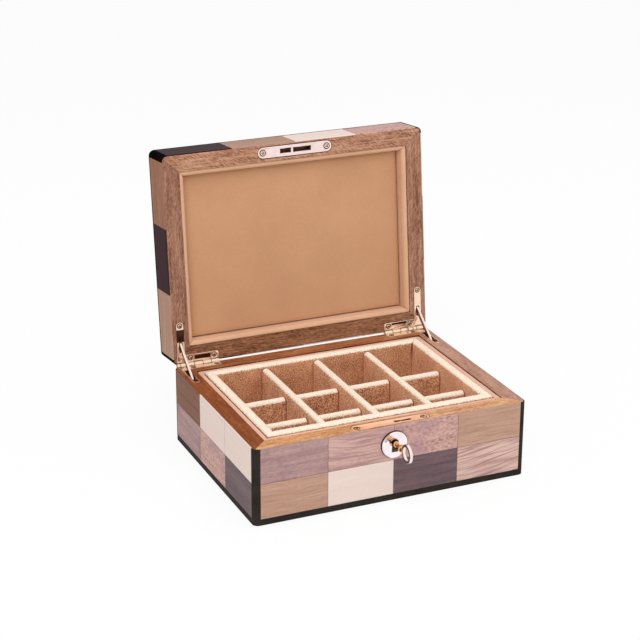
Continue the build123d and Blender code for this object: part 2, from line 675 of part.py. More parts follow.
for wood in LID_WOODS:
    with BuildPart() as lid_veneer:
        for bottom, height, spot, size in [
            *side_blocks(LID_BLOCKS, LID_FACE, EDGING_BOTTOM, wood),
            *top_blocks(wood),
        ]:
            with BuildSketch(lid_level(bottom)):
                with Locations(spot):
                    Rectangle(*size)
            extrude(amount=height)
        add(lid_hinge_room.part, mode=Mode.SUBTRACT)
        add(lid_bevel.part, mode=Mode.SUBTRACT)
    keep(lid_veneer, f"lid_veneer_{wood}")

# --- lid: lining and padded panel -------------------------------------------------------
lid_liner = soft_frame(
    facing_down(lid_level(TOP_BOARD_BOTTOM)),
    LID_INNER_X,
    LID_INNER_Y,
    LID_LINER,
    TOP_BOARD_BOTTOM - LID_FACE - LINER_DROP,
    LINER_ROUND,
)
keep(lid_liner, "lid_liner")

with BuildPart() as lid_pad:
    with BuildSketch(lid_level(PAD_FACE)):
        Rectangle(2 * PAD_X, 2 * PAD_Y)
    extrude(amount=PAD_THICKNESS)
    fillet(lid_pad.faces().sort_by(LID_UP)[0].edges(), PAD_ROUND)
keep(lid_pad, "lid_pad")

with BuildPart() as lid_pad_board:
    with BuildSketch(lid_level(PAD_FACE + PAD_THICKNESS)):
        Rectangle(2 * PAD_X, 2 * PAD_Y)
    extrude(amount=TOP_BOARD_BOTTOM - PAD_FACE - PAD_THICKNESS)
keep(lid_pad_board, "lid_pad_board")


# --- hinges: leaves, pins, stays and rivets ---------------------------------------------
def add_knuckles(section, first):
    """Every second knuckle of the right barrel, with room for the others and a bore."""
    for index in range(KNUCKLES):
        start = BARREL_START + index * KNUCKLE
        if index % 2 != first:
            room_end = start + KNUCKLE + KNUCKLE_GAP / 2
            room_start = start - KNUCKLE_GAP / 2
            bar_across(section, room_start, room_end, HINGE_Y, HINGE_Z, KNUCKLE_ROOM, Mode.SUBTRACT)
    for index in range(first, KNUCKLES, 2):
        start = BARREL_START + index * KNUCKLE + KNUCKLE_GAP / 2
        bar_across(section, start, start + KNUCKLE - KNUCKLE_GAP, HINGE_Y, HINGE_Z, BARREL_RADIUS)
    bore = PIN_RADIUS + RUNNING_FIT
    bar_across(section, BARREL_START, BARREL_END, HINGE_Y, HINGE_Z, bore, Mode.SUBTRACT)


with BuildPart() as hinge_base_leaf:
    with BuildSketch(base_level(LEAF_BOTTOM)):
        add(leaf_outline())
        with Locations((SIDE_ARM_X, HALF_Y - (BASE_SLOT_START + BASE_SLOT_END) / 2)):
            SlotOverall(BASE_SLOT_END - BASE_SLOT_START, BASE_SLOT_WIDTH, rotation=90, mode=Mode.SUBTRACT)
    extrude(amount=LEAF_THICKNESS)
    add(base_hinge_holes.part, mode=Mode.SUBTRACT)
    add_knuckles(base_section, 0)
keep_pair(hinge_base_leaf, "hinge_base_leaf")

RIVET_START, RIVET_END = SIDE_ARM_X - RIVET_LENGTH / 2, SIDE_ARM_X + RIVET_LENGTH / 2
with BuildPart() as hinge_lid_leaf:
    with BuildSketch(lid_level(LID_FACE)):
        add(leaf_outline())
    extrude(amount=LEAF_THICKNESS)
    with BuildSketch(lid_level(LID_FACE + LEAF_THICKNESS)):
        add(cheek_outline())
    extrude(amount=CHEEK_HEIGHT)
    with BuildSketch(lid_level(LID_FACE)):
        with Locations((SIDE_ARM_X, HALF_Y - (LID_SLOT_START + LID_SLOT_END) / 2)):
            Rectangle(LID_SLOT_WIDTH, LID_SLOT_END - LID_SLOT_START)
    extrude(amount=LEAF_THICKNESS + CHEEK_HEIGHT, mode=Mode.SUBTRACT)
    bar_across(lid_section, RIVET_START, RIVET_END, STAY_PIVOT_Y, STAY_PIVOT_Z, RIVET_RADIUS, Mode.SUBTRACT)
    add(lid_hinge_holes.part, mode=Mode.SUBTRACT)
    add_knuckles(lid_section, 1)
keep_pair(hinge_lid_leaf, "hinge_lid_leaf")

with BuildPart() as hinge_pins:
    bar_across(base_section, BARREL_START, BARREL_END, HINGE_Y, HINGE_Z, PIN_RADIUS)
    mirror(about=Plane.YZ)
keep(hinge_pins, "hinge_pins")

with BuildPart() as stay_rivets:
    bar_across(lid_section, RIVET_START, RIVET_END, STAY_PIVOT_Y, STAY_PIVOT_Z, RIVET_RADIUS)
    mirror(about=Plane.YZ)
keep(stay_rivets, "stay_rivets")

with BuildPart() as stay_link:
    with BuildSketch(base_section(SIDE_ARM_X - STAY_THICKNESS / 2)):
        SlotCenterPoint(STAY_MIDDLE, STAY_FOOT, STAY_WIDTH)
        with Locations(STAY_TOP):
            Circle(RIVET_RADIUS + RUNNING_FIT, mode=Mode.SUBTRACT)
    extrude(amount=STAY_THICKNESS)
    foot_start = SIDE_ARM_X - FOOT_PIN_LENGTH / 2
    bar_across(base_section, foot_start, foot_start + FOOT_PIN_LENGTH, *STAY_FOOT, FOOT_PIN_RADIUS)
keep_pair(stay_link, "stay_link")

# --- lock: plates, case and hook --------------------------------------------------------
with BuildPart() as lock_selvedge:
    with BuildSketch(base_level(PLATE_BOTTOM)):
        add(plate_outline())
        add(slot_outline(SELVEDGE_SLOT, SELVEDGE_SLOT_WIDTH), mode=Mode.SUBTRACT)
    extrude(amount=PLATE_THICKNESS)
    add(selvedge_holes.part, mode=Mode.SUBTRACT)
keep(lock_selvedge, "lock_selvedge")

with BuildPart() as strike_plate:
    with BuildSketch(lid_level(LID_FACE)):
        add(plate_outline())
        for strike_slot in STRIKE_SLOTS:
            add(slot_outline(strike_slot, STRIKE_SLOT_WIDTH), mode=Mode.SUBTRACT)
    extrude(amount=PLATE_THICKNESS)
    add(strike_holes.part, mode=Mode.SUBTRACT)
keep(strike_plate, "strike_plate")

with BuildPart() as lock_case:
    with BuildSketch(base_level(PLATE_BOTTOM)):
        with Locations((0, PLATE_Y)):
            Rectangle(CASE_WIDTH, CASE_DEPTH)
            Rectangle(CASE_WIDTH - 2 * CASE_WALL, CASE_DEPTH - 2 * CASE_WALL, mode=Mode.SUBTRACT)
    extrude(amount=CASE_WALL - CASE_HEIGHT)
    with BuildSketch(base_level(PLATE_BOTTOM - CASE_HEIGHT)):
        with Locations((0, PLATE_Y)):
            Rectangle(CASE_WIDTH, CASE_DEPTH)
    extrude(amount=CASE_WALL)
    with BuildSketch(front_plane(CASE_FRONT + CASE_WALL)):
        with Locations((0, KEY_HEIGHT)):
            Circle(KEY_SHAFT + KEY_CLEARANCE)
        with Locations((0, KEY_HEIGHT - (KEY_BIT_REACH + KEY_CLEARANCE) / 2)):
            Rectangle(KEY_BIT_THICKNESS + 2 * KEY_CLEARANCE, KEY_BIT_REACH + KEY_CLEARANCE)
    extrude(amount=CASE_WALL, mode=Mode.SUBTRACT)
    for radius, reach in ((HOOK_SHOULDER, HOOK_BACK + HOOK_SIDE_GAP), (HOOK_POST, HOOK_FRONT)):
        with BuildSketch(front_plane(CASE_BACK - CASE_WALL)):
            with Locations(HOOK_PIVOT):
                Circle(radius)
        extrude(amount=CASE_BACK - CASE_WALL - reach)
keep(lock_case, "lock_case")


HOOK_MIDDLE = (HOOK_INNER + HOOK_OUTER) / 2
HOOK_ARM_TURN = radians(HOOK_TAIL - HOOK_SWING) + HOOK_ARM_WIDTH / 2 / HOOK_INNER
HOOK_ARM_CENTRE = (
    HOOK_PIVOT[0] + HOOK_MIDDLE / 2 * cos(HOOK_ARM_TURN),
    HOOK_PIVOT[1] + HOOK_MIDDLE / 2 * sin(HOOK_ARM_TURN),
)

with BuildPart() as lock_hook:
    with BuildSketch(front_plane(HOOK_BACK)):
        with BuildLine():
            outer = CenterArc(HOOK_PIVOT, HOOK_OUTER, HOOK_TAIL - HOOK_SWING, HOOK_TIP - HOOK_TAIL)
            inner = CenterArc(HOOK_PIVOT, HOOK_INNER, HOOK_TAIL - HOOK_SWING, HOOK_TIP - HOOK_TAIL)
            Line(outer @ 0, inner @ 0)
            Line(outer @ 1, inner @ 1)
        make_face()
        with Locations(HOOK_ARM_CENTRE):
            Rectangle(HOOK_MIDDLE, HOOK_ARM_WIDTH, rotation=degrees(HOOK_ARM_TURN))
        with Locations(HOOK_PIVOT):
            Circle(HOOK_BOSS)
            Circle(HOOK_POST + RUNNING_FIT, mode=Mode.SUBTRACT)
    extrude(amount=HOOK_THICKNESS)
keep(lock_hook, "lock_hook")

# --- lock: escutcheon and key -----------------------------------------------------------
with BuildPart() as escutcheon:
    with BuildSketch(front_plane(-HALF_Y)):
        with Locations((0, KEY_HEIGHT - ESCUTCHEON_DROP)):
            Circle(ESCUTCHEON_RADIUS)
    extrude(amount=ESCUTCHEON_THICKNESS)
    chamfer(escutcheon.faces().sort_by(Axis.Y)[0].edges(), ESCUTCHEON_BEVEL)
    with BuildSketch(front_plane(-HALF_Y)):
        with Locations((0, KEY_HEIGHT)):
            Circle(KEYHOLE_RADIUS)
        Polygon(
            (-KEYHOLE_NECK / 2, KEY_HEIGHT),
            (KEYHOLE_NECK / 2, KEY_HEIGHT),
            (KEYHOLE_FOOT / 2, KEY_HEIGHT - KEYHOLE_DROP),
            (-KEYHOLE_FOOT / 2, KEY_HEIGHT - KEYHOLE_DROP),
            align=None,
        )
    extrude(amount=ESCUTCHEON_THICKNESS, mode=Mode.SUBTRACT)
keep(escutcheon, "escutcheon")

BOW_Y = -HALF_Y - BOW_REACH
BOW_TURN = 180 / BOW_SIDES
SHAFT_END = BOW_Y + BOW_RADIUS - BOW_BAND / 2
with BuildPart() as key:
    with BuildSketch(base_section(-BOW_THICKNESS / 2)):
        with Locations((BOW_Y, KEY_HEIGHT)):
            RegularPolygon(BOW_RADIUS, BOW_SIDES, major_radius=False, rotation=BOW_TURN)
            RegularPolygon(
                BOW_RADIUS - BOW_BAND,
                BOW_SIDES,
                major_radius=False,
                rotation=BOW_TURN,
                mode=Mode.SUBTRACT,
            )
    extrude(amount=BOW_THICKNESS)
    for start, end, radius in (
        (KEY_TIP, SHAFT_END, KEY_SHAFT),
        (COLLAR_WIDTH - HALF_Y - COLLAR_REACH, -HALF_Y - COLLAR_REACH, COLLAR_RADIUS),
    ):
        with BuildSketch(front_plane(start)):
            with Locations((0, KEY_HEIGHT)):
                Circle(radius)
        extrude(amount=start - end)
    with BuildSketch(front_plane(KEY_TIP)):
        with Locations((0, KEY_HEIGHT - KEY_BIT_REACH / 2)):
            Rectangle(KEY_BIT_THICKNESS, KEY_BIT_REACH)
    extrude(amount=KEY_BIT_WIDTH)
    with BuildSketch(base_section(-KEY_BIT_THICKNESS / 2)):
        with Locations(((KEY_TIP + BIT_FRONT) / 2, KEY_HEIGHT - KEY_BIT_REACH)):
            Rectangle(KEY_NOTCH, 2 * KEY_NOTCH_DEPTH)
    extrude(amount=KEY_BIT_THICKNESS, mode=Mode.SUBTRACT)
keep(key, "key")
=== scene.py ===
import json
from math import cos, pi, radians, sin

import bmesh
import bpy
from mathutils import Matrix, Vector, noise
from mathutils.bvhtree import BVHTree


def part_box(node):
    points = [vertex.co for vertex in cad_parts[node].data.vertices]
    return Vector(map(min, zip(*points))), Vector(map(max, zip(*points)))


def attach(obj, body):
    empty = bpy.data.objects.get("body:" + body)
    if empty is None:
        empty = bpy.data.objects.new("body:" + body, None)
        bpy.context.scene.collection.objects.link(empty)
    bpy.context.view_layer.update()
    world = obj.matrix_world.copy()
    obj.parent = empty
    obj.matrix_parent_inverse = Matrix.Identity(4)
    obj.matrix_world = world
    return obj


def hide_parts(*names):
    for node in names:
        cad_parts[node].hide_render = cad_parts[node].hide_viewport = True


# Looks of the cufflink box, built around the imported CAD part.  Metres, in the CAD's frame.
# The lid's pieces are described as they are when it is shut, then turned open with it.

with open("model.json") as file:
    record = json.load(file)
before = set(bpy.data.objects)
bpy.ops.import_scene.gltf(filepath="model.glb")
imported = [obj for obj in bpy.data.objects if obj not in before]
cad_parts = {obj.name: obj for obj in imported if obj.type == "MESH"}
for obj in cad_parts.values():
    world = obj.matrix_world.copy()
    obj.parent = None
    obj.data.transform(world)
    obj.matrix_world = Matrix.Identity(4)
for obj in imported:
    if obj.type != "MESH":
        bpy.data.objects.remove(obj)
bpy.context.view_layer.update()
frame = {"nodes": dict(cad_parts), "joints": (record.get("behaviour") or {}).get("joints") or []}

MM = 0.001

# --- camera, measured from the photograph ------------------------------------------------
CAMERA_YAW = radians(-23.92)
CAMERA_PITCH = radians(21.11)
CAMERA_ROLL = radians(0.26)
CAMERA_ASIDE = 0.0202
CAMERA_ABOVE = -0.1054
CAMERA_AWAY = 1.436
CAMERA_LENS = 104.23
CAMERA_SENSOR = 36.0
CAMERA_REACH = 20.0

# --- light -------------------------------------------------------------------------------
WORLD_STRENGTH = 0.62
KEY_LIGHT = {"place": (-0.9, -1.5, 1.7), "size": 1.6, "power": 26.0}
TOP_LIGHT = {"place": (0.3, -0.1, 1.9), "size": 1.4, "power": 9.0}
LAMP_AIM = Vector((0, 0, 0.05))
FLOOR_HALF = 3.0
FLOOR_DROP = 0.05 * MM
FLOOR_SPECKLE = 0.4
FLOOR_WHITES = (0.9, 0.92)
FLOOR_GLOW = 0.9

# --- sizes that repeat the CAD's ---------------------------------------------------------
MITRE_GAP = 0.06 * MM
BASE_LINER = 4.4 * MM
LID_LINER = 3.6 * MM
TRAY_WALL = 7.3 * MM
DIVIDER = 6.2 * MM
SCREW_SHANK = 0.9 * MM
SCREW_DEPTH = 1.5 * MM
KEY_SHAFT = 1.9 * MM
KEY_BIT_REACH = 5.6 * MM
KEY_BIT_WIDTH = 1.7 * MM
KEY_BIT_THICKNESS = 2.0 * MM
KEY_NOTCH = 0.5 * MM
KEY_NOTCH_DEPTH = 2.0 * MM
BOW_RADIUS = 7.2 * MM
BOW_BAND = 2.2 * MM
BOW_HALF = 1.3 * MM
# Along the key's shaft from its inner end.
COLLAR_START = 16.0 * MM
COLLAR_END = 18.2 * MM
COLLAR_RADIUS = 2.8 * MM
KEYHOLE_RADIUS = 3.2 * MM
KEYHOLE_DROP = 7.0 * MM
KEYHOLE_FOOT = 5.0 * MM
KEYHOLE_NECK = 3.4 * MM
KEYHOLE_RISE = 1.4 * MM

# --- metalwork ---------------------------------------------------------------------------
WELD = 0.001 * MM
# Faces as near to one plane as FLAT are joined, edges sharper than CRISP are rounded over,
# and faces that meet under SMOOTH are shaded as one.
FLAT = radians(1)
CRISP = radians(25)
SMOOTH = radians(40)
PLATE_BEVEL = 0.5 * MM
LEAF_BEVEL = 0.25 * MM
STAY_BEVEL = 0.4 * MM
ESCUTCHEON_BEVEL = 0.8 * MM
ESCUTCHEON_DOME = 0.3 * MM
ESCUTCHEON_SIDES = 96

# Radius of a screw's head as a share of the CAD's width, so that it stays inside it.
HEAD_FIT = 0.49
SCREW_SIDES = 24
SCREW_POINT = 0.5 * MM
SCREW_TURN = 0.7
# The rolled rim of a screw's head: heights, and how far in from the head's edge.
SCREW_RIM = (
    (-0.28 * MM, 0.0),
    (-0.16 * MM, 0.0),
    (0.0, 0.2 * MM),
    (-0.24 * MM, 0.5 * MM),
    (-0.05 * MM, 0.75 * MM),
)
# Its cross, as shares of the head's radius, and how far it narrows at each height.
CROSS_HALF, CROSS_ARM = 0.16, 0.55
SCREW_CROSS = ((-0.03 * MM, 1.0), (-0.14 * MM, 0.9), (-0.9 * MM, 0.55))

BOW_STATIONS = 48
BOW_SIDES = 14
BOW_SQUARENESS = 4
SHAFT_SIDES = 32
SHAFT_INTO_BOW = 0.7
# The key's shaft: its rounding, its raised ring and its neck before the collar.
KEY_ROUND = 0.3 * MM
RING_START = 8.6 * MM
RING_END = 10.0 * MM
RING_RISE = 0.45 * MM
COLLAR_STEP = 0.2 * MM
NECK_LENGTH = 1.2 * MM
NECK_FLARE = 0.4 * MM

# --- fabric ------------------------------------------------------------------------------
WALL_ROUND = 2.7 * MM
LINER_ROUND = 1.2 * MM
LID_LINER_ROUND = 0.6 * MM
LID_LINER_SLOPE = 2.8 * MM
ROUND_STEPS = 5
STRIP_STATIONS = 36
SEAM_REACH = 1.6 * MM
SEAM_DIP = 0.28 * MM
NAP_SWELL = 0.1 * MM
STRIP_SWELL_SIZE = 9 * MM
BAR_SWELL_SIZE = 8 * MM
SLAB_SWELL_SIZE = 30 * MM
LONG_BAR_STATIONS = 48
CROSS_BAR_STATIONS = 28
BAR_ROUND = 0.98
BAR_PINCH = 0.1
BAR_END_ROUND = 1.5 * MM
FLOOR_EDGE = 0.3 * MM
PAD_CROWN = 0.7 * MM
PAD_EDGE = 0.7 * MM
SLAB_COLUMNS = 56
SLAB_ROWS = 40

lid_joint = next(joint for joint in frame["joints"] if joint["name"] == "lid_hinge")
HINGE = Vector(lid_joint["pos_m"])
LID_OPEN = radians(lid_joint["range_deg"][1])
OPENED = Matrix.Translation(HINGE) @ Matrix.Rotation(-LID_OPEN, 4, "X") @ Matrix.Translation(-HINGE)
FACING_DOWN = Matrix.Rotation(pi, 4, "X")
SIDEWAYS = (1, 0, 0)
FRONTWARD = (0, -1, 0)
UPWARD = (0, 0, 1)
LID_INWARD = OPENED.to_3x3() @ Vector((0, 0, -1))


def extent(points):
    """Lowest and highest corner of the box round some points."""
    return [Vector([end(point[i] for point in points) for i in range(3)]) for end in (min, max)]


def shut_box(node):
    """Lowest and highest corner of one of the lid's nodes when the lid is shut."""
    back = OPENED.inverted()
    return extent([back @ vertex.co for vertex in frame["nodes"][node].data.vertices])


# --- material nodes ----------------------------------------------------------------------
class Finish:
    """A material being built: short names for the nodes that the finishes share."""

    def __init__(self, name, **constants):
        self.material = bpy.data.materials.new(name)
        self.material.use_nodes = True
        self.nodes = self.material.node_tree.nodes
        self.links = self.material.node_tree.links
        self.shader = self.nodes["Principled BSDF"]
        self.fill(self.shader, **constants)

    def add(self, kind, **settings):
        node = self.nodes.new(kind)
        for key, value in settings.items():
            setattr(node, key, value)
        return node

    def give(self, socket, value):
        """Set an input to a value, or join it to another node's output."""
        if isinstance(value, bpy.types.NodeSocket):
            self.links.new(value, socket)
        else:
            socket.default_value = value

    def fill(self, node, **inputs):
        """Give several of a node's inputs, by their names."""
        for name, value in inputs.items():
            self.give(node.inputs[name.replace("_", " ")], value)
        return node

    def place(self, size, on_lid=False, turn=(0, 0, 0), shift=(0, 0, 0)):
        """Coordinates counted in features of a size; a lid's run along the shut lid."""
        coordinates = self.add("ShaderNodeTexCoord").outputs["Object"]
        if on_lid:
            coordinates = self.mapped(coordinates, HINGE, (-LID_OPEN, 0, 0), (1, 1, 1))
        return self.mapped(coordinates, shift, turn, size)

    def mapped(self, coordinates, shift, turn, size):
        node = self.add("ShaderNodeMapping", vector_type="TEXTURE")
        self.fill(node, Vector=coordinates, Location=shift, Rotation=turn, Scale=size)
        return node.outputs["Vector"]

    def noise(self, coordinates, detail, roughness=0.55, distortion=0.0):
        node = self.add("ShaderNodeTexNoise")
        self.fill(node, Vector=coordinates, Scale=1.0, Detail=detail)
        self.fill(node, Roughness=roughness, Distortion=distortion)
        return node.outputs["Fac"]

    def cloud(self, size, detail, on_lid=False):
        """Noise with features as large one way as another."""
        return self.noise(self.place((size,) * 3, on_lid), detail)

    def math(self, operation, *values):
        node = self.add("ShaderNodeMath", operation=operation)
        for socket, value in zip(node.inputs, values):
            self.give(socket, value)
        return node.outputs[0]

    def ramp(self, factor, stops):
        node = self.add("ShaderNodeValToRGB")
        elements = node.color_ramp.elements
        while len(elements) < len(stops):
            elements.new(0.5)
        for element, (position, colour) in zip(elements, stops):
            element.position = position
            element.color = (*colour, 1.0)
        return self.fill(node, Fac=factor).outputs["Color"]

    def tones(self, factor, *stops):
        """A ramp through colours given as they look on a screen."""
        return self.ramp(factor, [(position, shade(*colour)) for position, colour in stops])

    def level(self, factor, low, high):
        """The factor drawn out so that low becomes 0 and high becomes 1."""
        node = self.add("ShaderNodeMapRange", interpolation_type="SMOOTHSTEP")
        return self.fill(node, Value=factor, From_Min=low, From_Max=high).outputs["Result"]

    def mix(self, factor, first, second, blend="MIX"):
        node = self.add("ShaderNodeMix", data_type="RGBA", blend_type=blend)
        for index, colour in ((6, first), (7, second)):
            if isinstance(colour, tuple):
                colour = (*colour, 1.0)
            self.give(node.inputs[index], colour)
        return self.fill(node, Factor=factor).outputs[2]

    def painted_crevice_shade(self, colour, reach, shades):
        """The colour, darkened with painted shade where other surfaces lie within reach."""
        node = self.fill(self.add("ShaderNodeAmbientOcclusion", samples=8), Distance=reach)
        return self.mix(1.0, colour, self.ramp(node.outputs["AO"], shades), blend="MULTIPLY")

    def facing(self, way):
        """How far the surface looks along a way of the CAD's frame, from -1 to 1."""
        node = self.add("ShaderNodeVectorMath", operation="DOT_PRODUCT")
        self.give(node.inputs[0], self.add("ShaderNodeTexCoord").outputs["Normal"])
        self.give(node.inputs[1], way)
        return node.outputs["Value"]

    def split(self, coordinates):
        """The X, Y and Z of coordinates."""
        return self.fill(self.add("ShaderNodeSeparateXYZ"), Vector=coordinates).outputs

    def across_and_up(self, across, up):
        """Coordinates put together from an X and a Z."""
        return self.fill(self.add("ShaderNodeCombineXYZ"), X=across, Z=up).outputs[0]

    def height(self):
        """How high the surface lies in the CAD's frame."""
        return self.split(self.add("ShaderNodeTexCoord").outputs["Object"])["Z"]

    def weighed(self, *parts):
        """Noises drawn round zero, each times its weight, put together round one half."""
        total = 0.5
        for factor, weight in parts:
            share = self.math("MULTIPLY", self.math("SUBTRACT", factor, 0.5), weight)
            total = self.math("ADD", share, total)
        return total

    def colour(self, output):
        self.fill(self.shader, Base_Color=output)

    def roughness(self, factor, low, high):
        node = self.fill(self.add("ShaderNodeMapRange"), Value=factor, To_Min=low, To_Max=high)
        self.fill(self.shader, Roughness=node.outputs["Result"])

    def bump(self, height, distance, strength):
        node = self.add("ShaderNodeBump")
        self.fill(node, Height=height, Distance=distance, Strength=strength)
        self.fill(self.shader, Normal=node.outputs["Normal"])


def shade(red, green, blue):
    """A colour given as it looks on a screen, from 0 to 255, as light."""
    def light(value):
        value /= 255
        return value / 12.92 if value <= 0.04045 else ((value + 0.055) / 1.055) ** 2.4
    return light(red), light(green), light(blue)


# --- woods -------------------------------------------------------------------------------
BASE_COAT = 0.3
LID_COAT = 0.12
BASE_EDGING_COAT = 0.12
LID_EDGING_COAT = 0.01
LACQUER_IOR = 1.4
GLOSS = {"Coat_Roughness": 0.05, "Coat_IOR": LACQUER_IOR, "Specular_IOR_Level": 0.0}

# Each veneer: its dark, middle and light tone and the cast of its patches; how strong its
# fine grain, broad bands and mottling are; how strong its dark lines are, their width and
# their lean in degrees; and the length and height of its grain's waves.  Millimetres.
VENEERS = {
    "mauve": {
        "tones": ((152, 118, 116), (170, 137, 134), (190, 157, 149)),
        "cast": (142, 110, 122), "patches": 0.75, "grain": (0.9, 0.9, 0.8),
        "lines": (0.2, 1.2, 4), "wave": (60, 1.2),
    },
    "tan": {
        "tones": ((160, 121, 102), (186, 148, 128), (202, 165, 144)),
        "cast": (190, 146, 112), "patches": 0.3, "grain": (1.2, 0.7, 0.3),
        "lines": (0.18, 0.9, -4), "wave": (24, 1.2),
    },
    "wavy": {
        "tones": ((158, 120, 118), (196, 158, 150), (216, 180, 168)),
        "cast": (182, 144, 146), "patches": 0.4, "grain": (1.2, 1.3, 0.4),
        "lines": (0.75, 1.3, 4), "wave": (30, 2.2),
    },
    "cream": {
        "tones": ((218, 196, 184), (228, 208, 198), (236, 219, 207)),
        "cast": (232, 206, 198), "patches": 0.4, "grain": (0.4, 0.4, 0.3),
        "lines": (0.08, 1.6, 2), "wave": (90, 0.8),
    },
    "rosy": {
        "tones": ((150, 110, 106), (194, 155, 145), (214, 175, 162)),
        "cast": (168, 130, 142), "patches": 0.7, "grain": (0.7, 0.6, 1.5),
        "lines": (0.12, 1.0, 6), "wave": (30, 1.5),
    },
    "aubergine": {
        "tones": ((88, 70, 76), (107, 87, 91), (126, 104, 105)),
        "cast": (118, 92, 88), "patches": 0.5, "grain": (0.7, 1.0, 0.4),
        "lines": (0.25, 1.4, 3), "wave": (60, 1.4),
    },
    "striped": {
        "tones": ((160, 122, 114), (208, 173, 162), (232, 200, 186)),
        "cast": (190, 150, 150), "patches": 0.4, "grain": (0.6, 1.2, 0.2),
        "lines": (0.85, 1.6, -10), "wave": (50, 1.8),
    },
    "brown": {
        "tones": ((98, 62, 43), (124, 82, 61), (146, 102, 79)),
        "cast": (110, 73, 62), "patches": 0.4, "grain": (0.8, 0.7, 0.3),
        "lines": (0.3, 1.1, 4), "wave": (50, 1.4),
    },
}
# How much darker or lighter some woods are drawn on the lid than on the base, in red, green and
# blue: painted shade and painted light, for how differently light falls on the lid.
LID_LIGHT_AND_SHADE = {
    "aubergine": (0.5, 0.36, 0.41),
    "brown": (1.24, 1.32, 1.4),
    "tan": (0.94, 0.94, 0.94),
}
# How far apart two woods' grains are drawn from each other.
WOOD_APART = 0.37
# The joints between the blocks: how far out the grid of blocks reaches, and how many there are.
JOINTS = {"X": (105 * MM, 4), "Y": (78 * MM, 3)}
ROW_JOINT = 33.05 * MM
JOINT_REACH = 0.35 * MM
JOINT_TONE = (96, 60, 50)
JOINT_STRENGTH = 0.7
GRAIN_LENGTH = 26 * MM
GRAIN_WIDTH = 0.55 * MM
BAND_LENGTH = 120 * MM
BAND_WIDTH = 5.5 * MM
LINE_LENGTH = 42 * MM
PATCH = 17 * MM
MOTTLE = 1.9 * MM


def veneer_finish(wood, on_lid):
    """Lacquered veneer, its grain lying level on the sides and along the top's length."""
    look = VENEERS[wood]
    # The lid's copy of a wood is painted darker or lighter by its share of painted light and shade.
    tone = LID_LIGHT_AND_SHADE.get(wood, (1, 1, 1)) if on_lid else (1, 1, 1)
    dark, middle, light, cast = (
        shade(*[share * part for share, part in zip(tone, colour)])
        for colour in (*look["tones"], look["cast"])
    )
    fine, broad, mottled = look["grain"]
    strength, line_width, lean = look["lines"]
    wave_length, wave_height = look["wave"]
    seed = sorted(VENEERS).index(wood) * WOOD_APART
    where, coat = ("lid", LID_COAT) if on_lid else ("base", BASE_COAT)
    finish = Finish(f"veneer_{wood}_{where}", Coat_Weight=coat, **GLOSS)
    at = finish.split(finish.place((1, 1, 1), on_lid, shift=(seed, seed, seed)))
    wave = finish.cloud(wave_length * MM, 1.5, on_lid)
    wave = finish.math("MULTIPLY", finish.math("SUBTRACT", wave, 0.5), 4 * wave_height * MM)
    round_sides = finish.math("ADD", at["X"], at["Y"])
    ways = finish.add("ShaderNodeMix", data_type="VECTOR")
    upward = -LID_INWARD if on_lid else UPWARD
    finish.fill(ways, Factor=finish.level(finish.facing(upward), 0.5, 0.9))
    for index, across, up in ((4, round_sides, at["Z"]), (5, at["X"], at["Y"])):
        waved = finish.math("ADD", up, wave)
        finish.give(ways.inputs[index], finish.across_and_up(across, waved))
    run = ways.outputs[1]

    def spread(length, width, detail, lean=0):
        turn = (0, radians(lean), 0)
        return finish.noise(finish.mapped(run, (0, 0, 0), turn, (length, 1, width)), detail)

    grain = spread(GRAIN_LENGTH, GRAIN_WIDTH, 3.0)
    bands = spread(BAND_LENGTH, BAND_WIDTH, 3.0)
    mottle = spread(1.6 * MOTTLE, MOTTLE, 4.0)
    lines = finish.level(spread(LINE_LENGTH, line_width * MM, 1.0, lean), 0.5, 0.66)
    patches = finish.level(spread(1.5 * PATCH, PATCH, 3.0), 0.5, 0.7)
    figure = finish.weighed((grain, fine), (bands, broad), (mottle, mottled))
    plain = finish.ramp(figure, ((0.18, dark), (0.5, middle), (0.82, light)))
    patched = finish.mix(finish.math("MULTIPLY", patches, look["patches"]), plain, cast)
    lined = finish.mix(finish.math("MULTIPLY", lines, strength), patched, dark)
    nearest = 1.0
    for axis, (reach, count) in JOINTS.items():
        start = seed + reach + (HINGE["XYZ".index(axis)] if on_lid else 0.0)
        from_first = finish.math("ADD", at[axis], start)
        from_joint = finish.math("PINGPONG", from_first, reach / count)
        nearest = finish.math("MINIMUM", from_joint, nearest)
    if not on_lid:
        from_row = finish.math("ABSOLUTE", finish.math("ADD", at["Z"], seed - ROW_JOINT))
        nearest = finish.math("MINIMUM", from_row, nearest)
    joint = finish.math("MULTIPLY", finish.level(nearest, JOINT_REACH, 0.0), JOINT_STRENGTH)
    finish.colour(finish.mix(joint, lined, shade(*JOINT_TONE)))
    finish.roughness(grain, 0.28, 0.42)
    finish.bump(grain, 0.02 * MM, 0.4)
    return finish.material


# Each rail: its dark, middle and light tone, and the lean of its ripple in degrees.
RAILS = {
    "base_rim_front": ((162, 102, 60), (209, 150, 102), (232, 182, 136), 12),
    "base_rim_right": ((140, 88, 64), (176, 124, 98), (196, 150, 126), 20),
    "base_rim_back": ((128, 70, 38), (166, 102, 64), (192, 130, 88), 12),
    "base_rim_left": ((100, 46, 22), (132, 68, 36), (160, 92, 54), 10),
    "lid_rim_front": ((120, 74, 52), (178, 128, 100), (204, 158, 128), 35),
    "lid_rim_right": ((112, 70, 52), (164, 116, 90), (190, 144, 118), 24),
    "lid_rim_back": ((96, 58, 38), (146, 98, 68), (176, 128, 96), 8),
    "lid_rim_left": ((104, 64, 46), (150, 105, 84), (176, 132, 108), 10),
}
RIPPLE = (3.6 * MM, 0.75 * MM, 0.75 * MM)
PORE = (2.6 * MM, 0.4 * MM, 0.4 * MM)
RAIL_GRAIN = (30 * MM, 1.1 * MM, 1.1 * MM)
RAIL_CLOUD = (34 * MM, 9 * MM, 9 * MM)
PORE_DARKNESS = 0.85
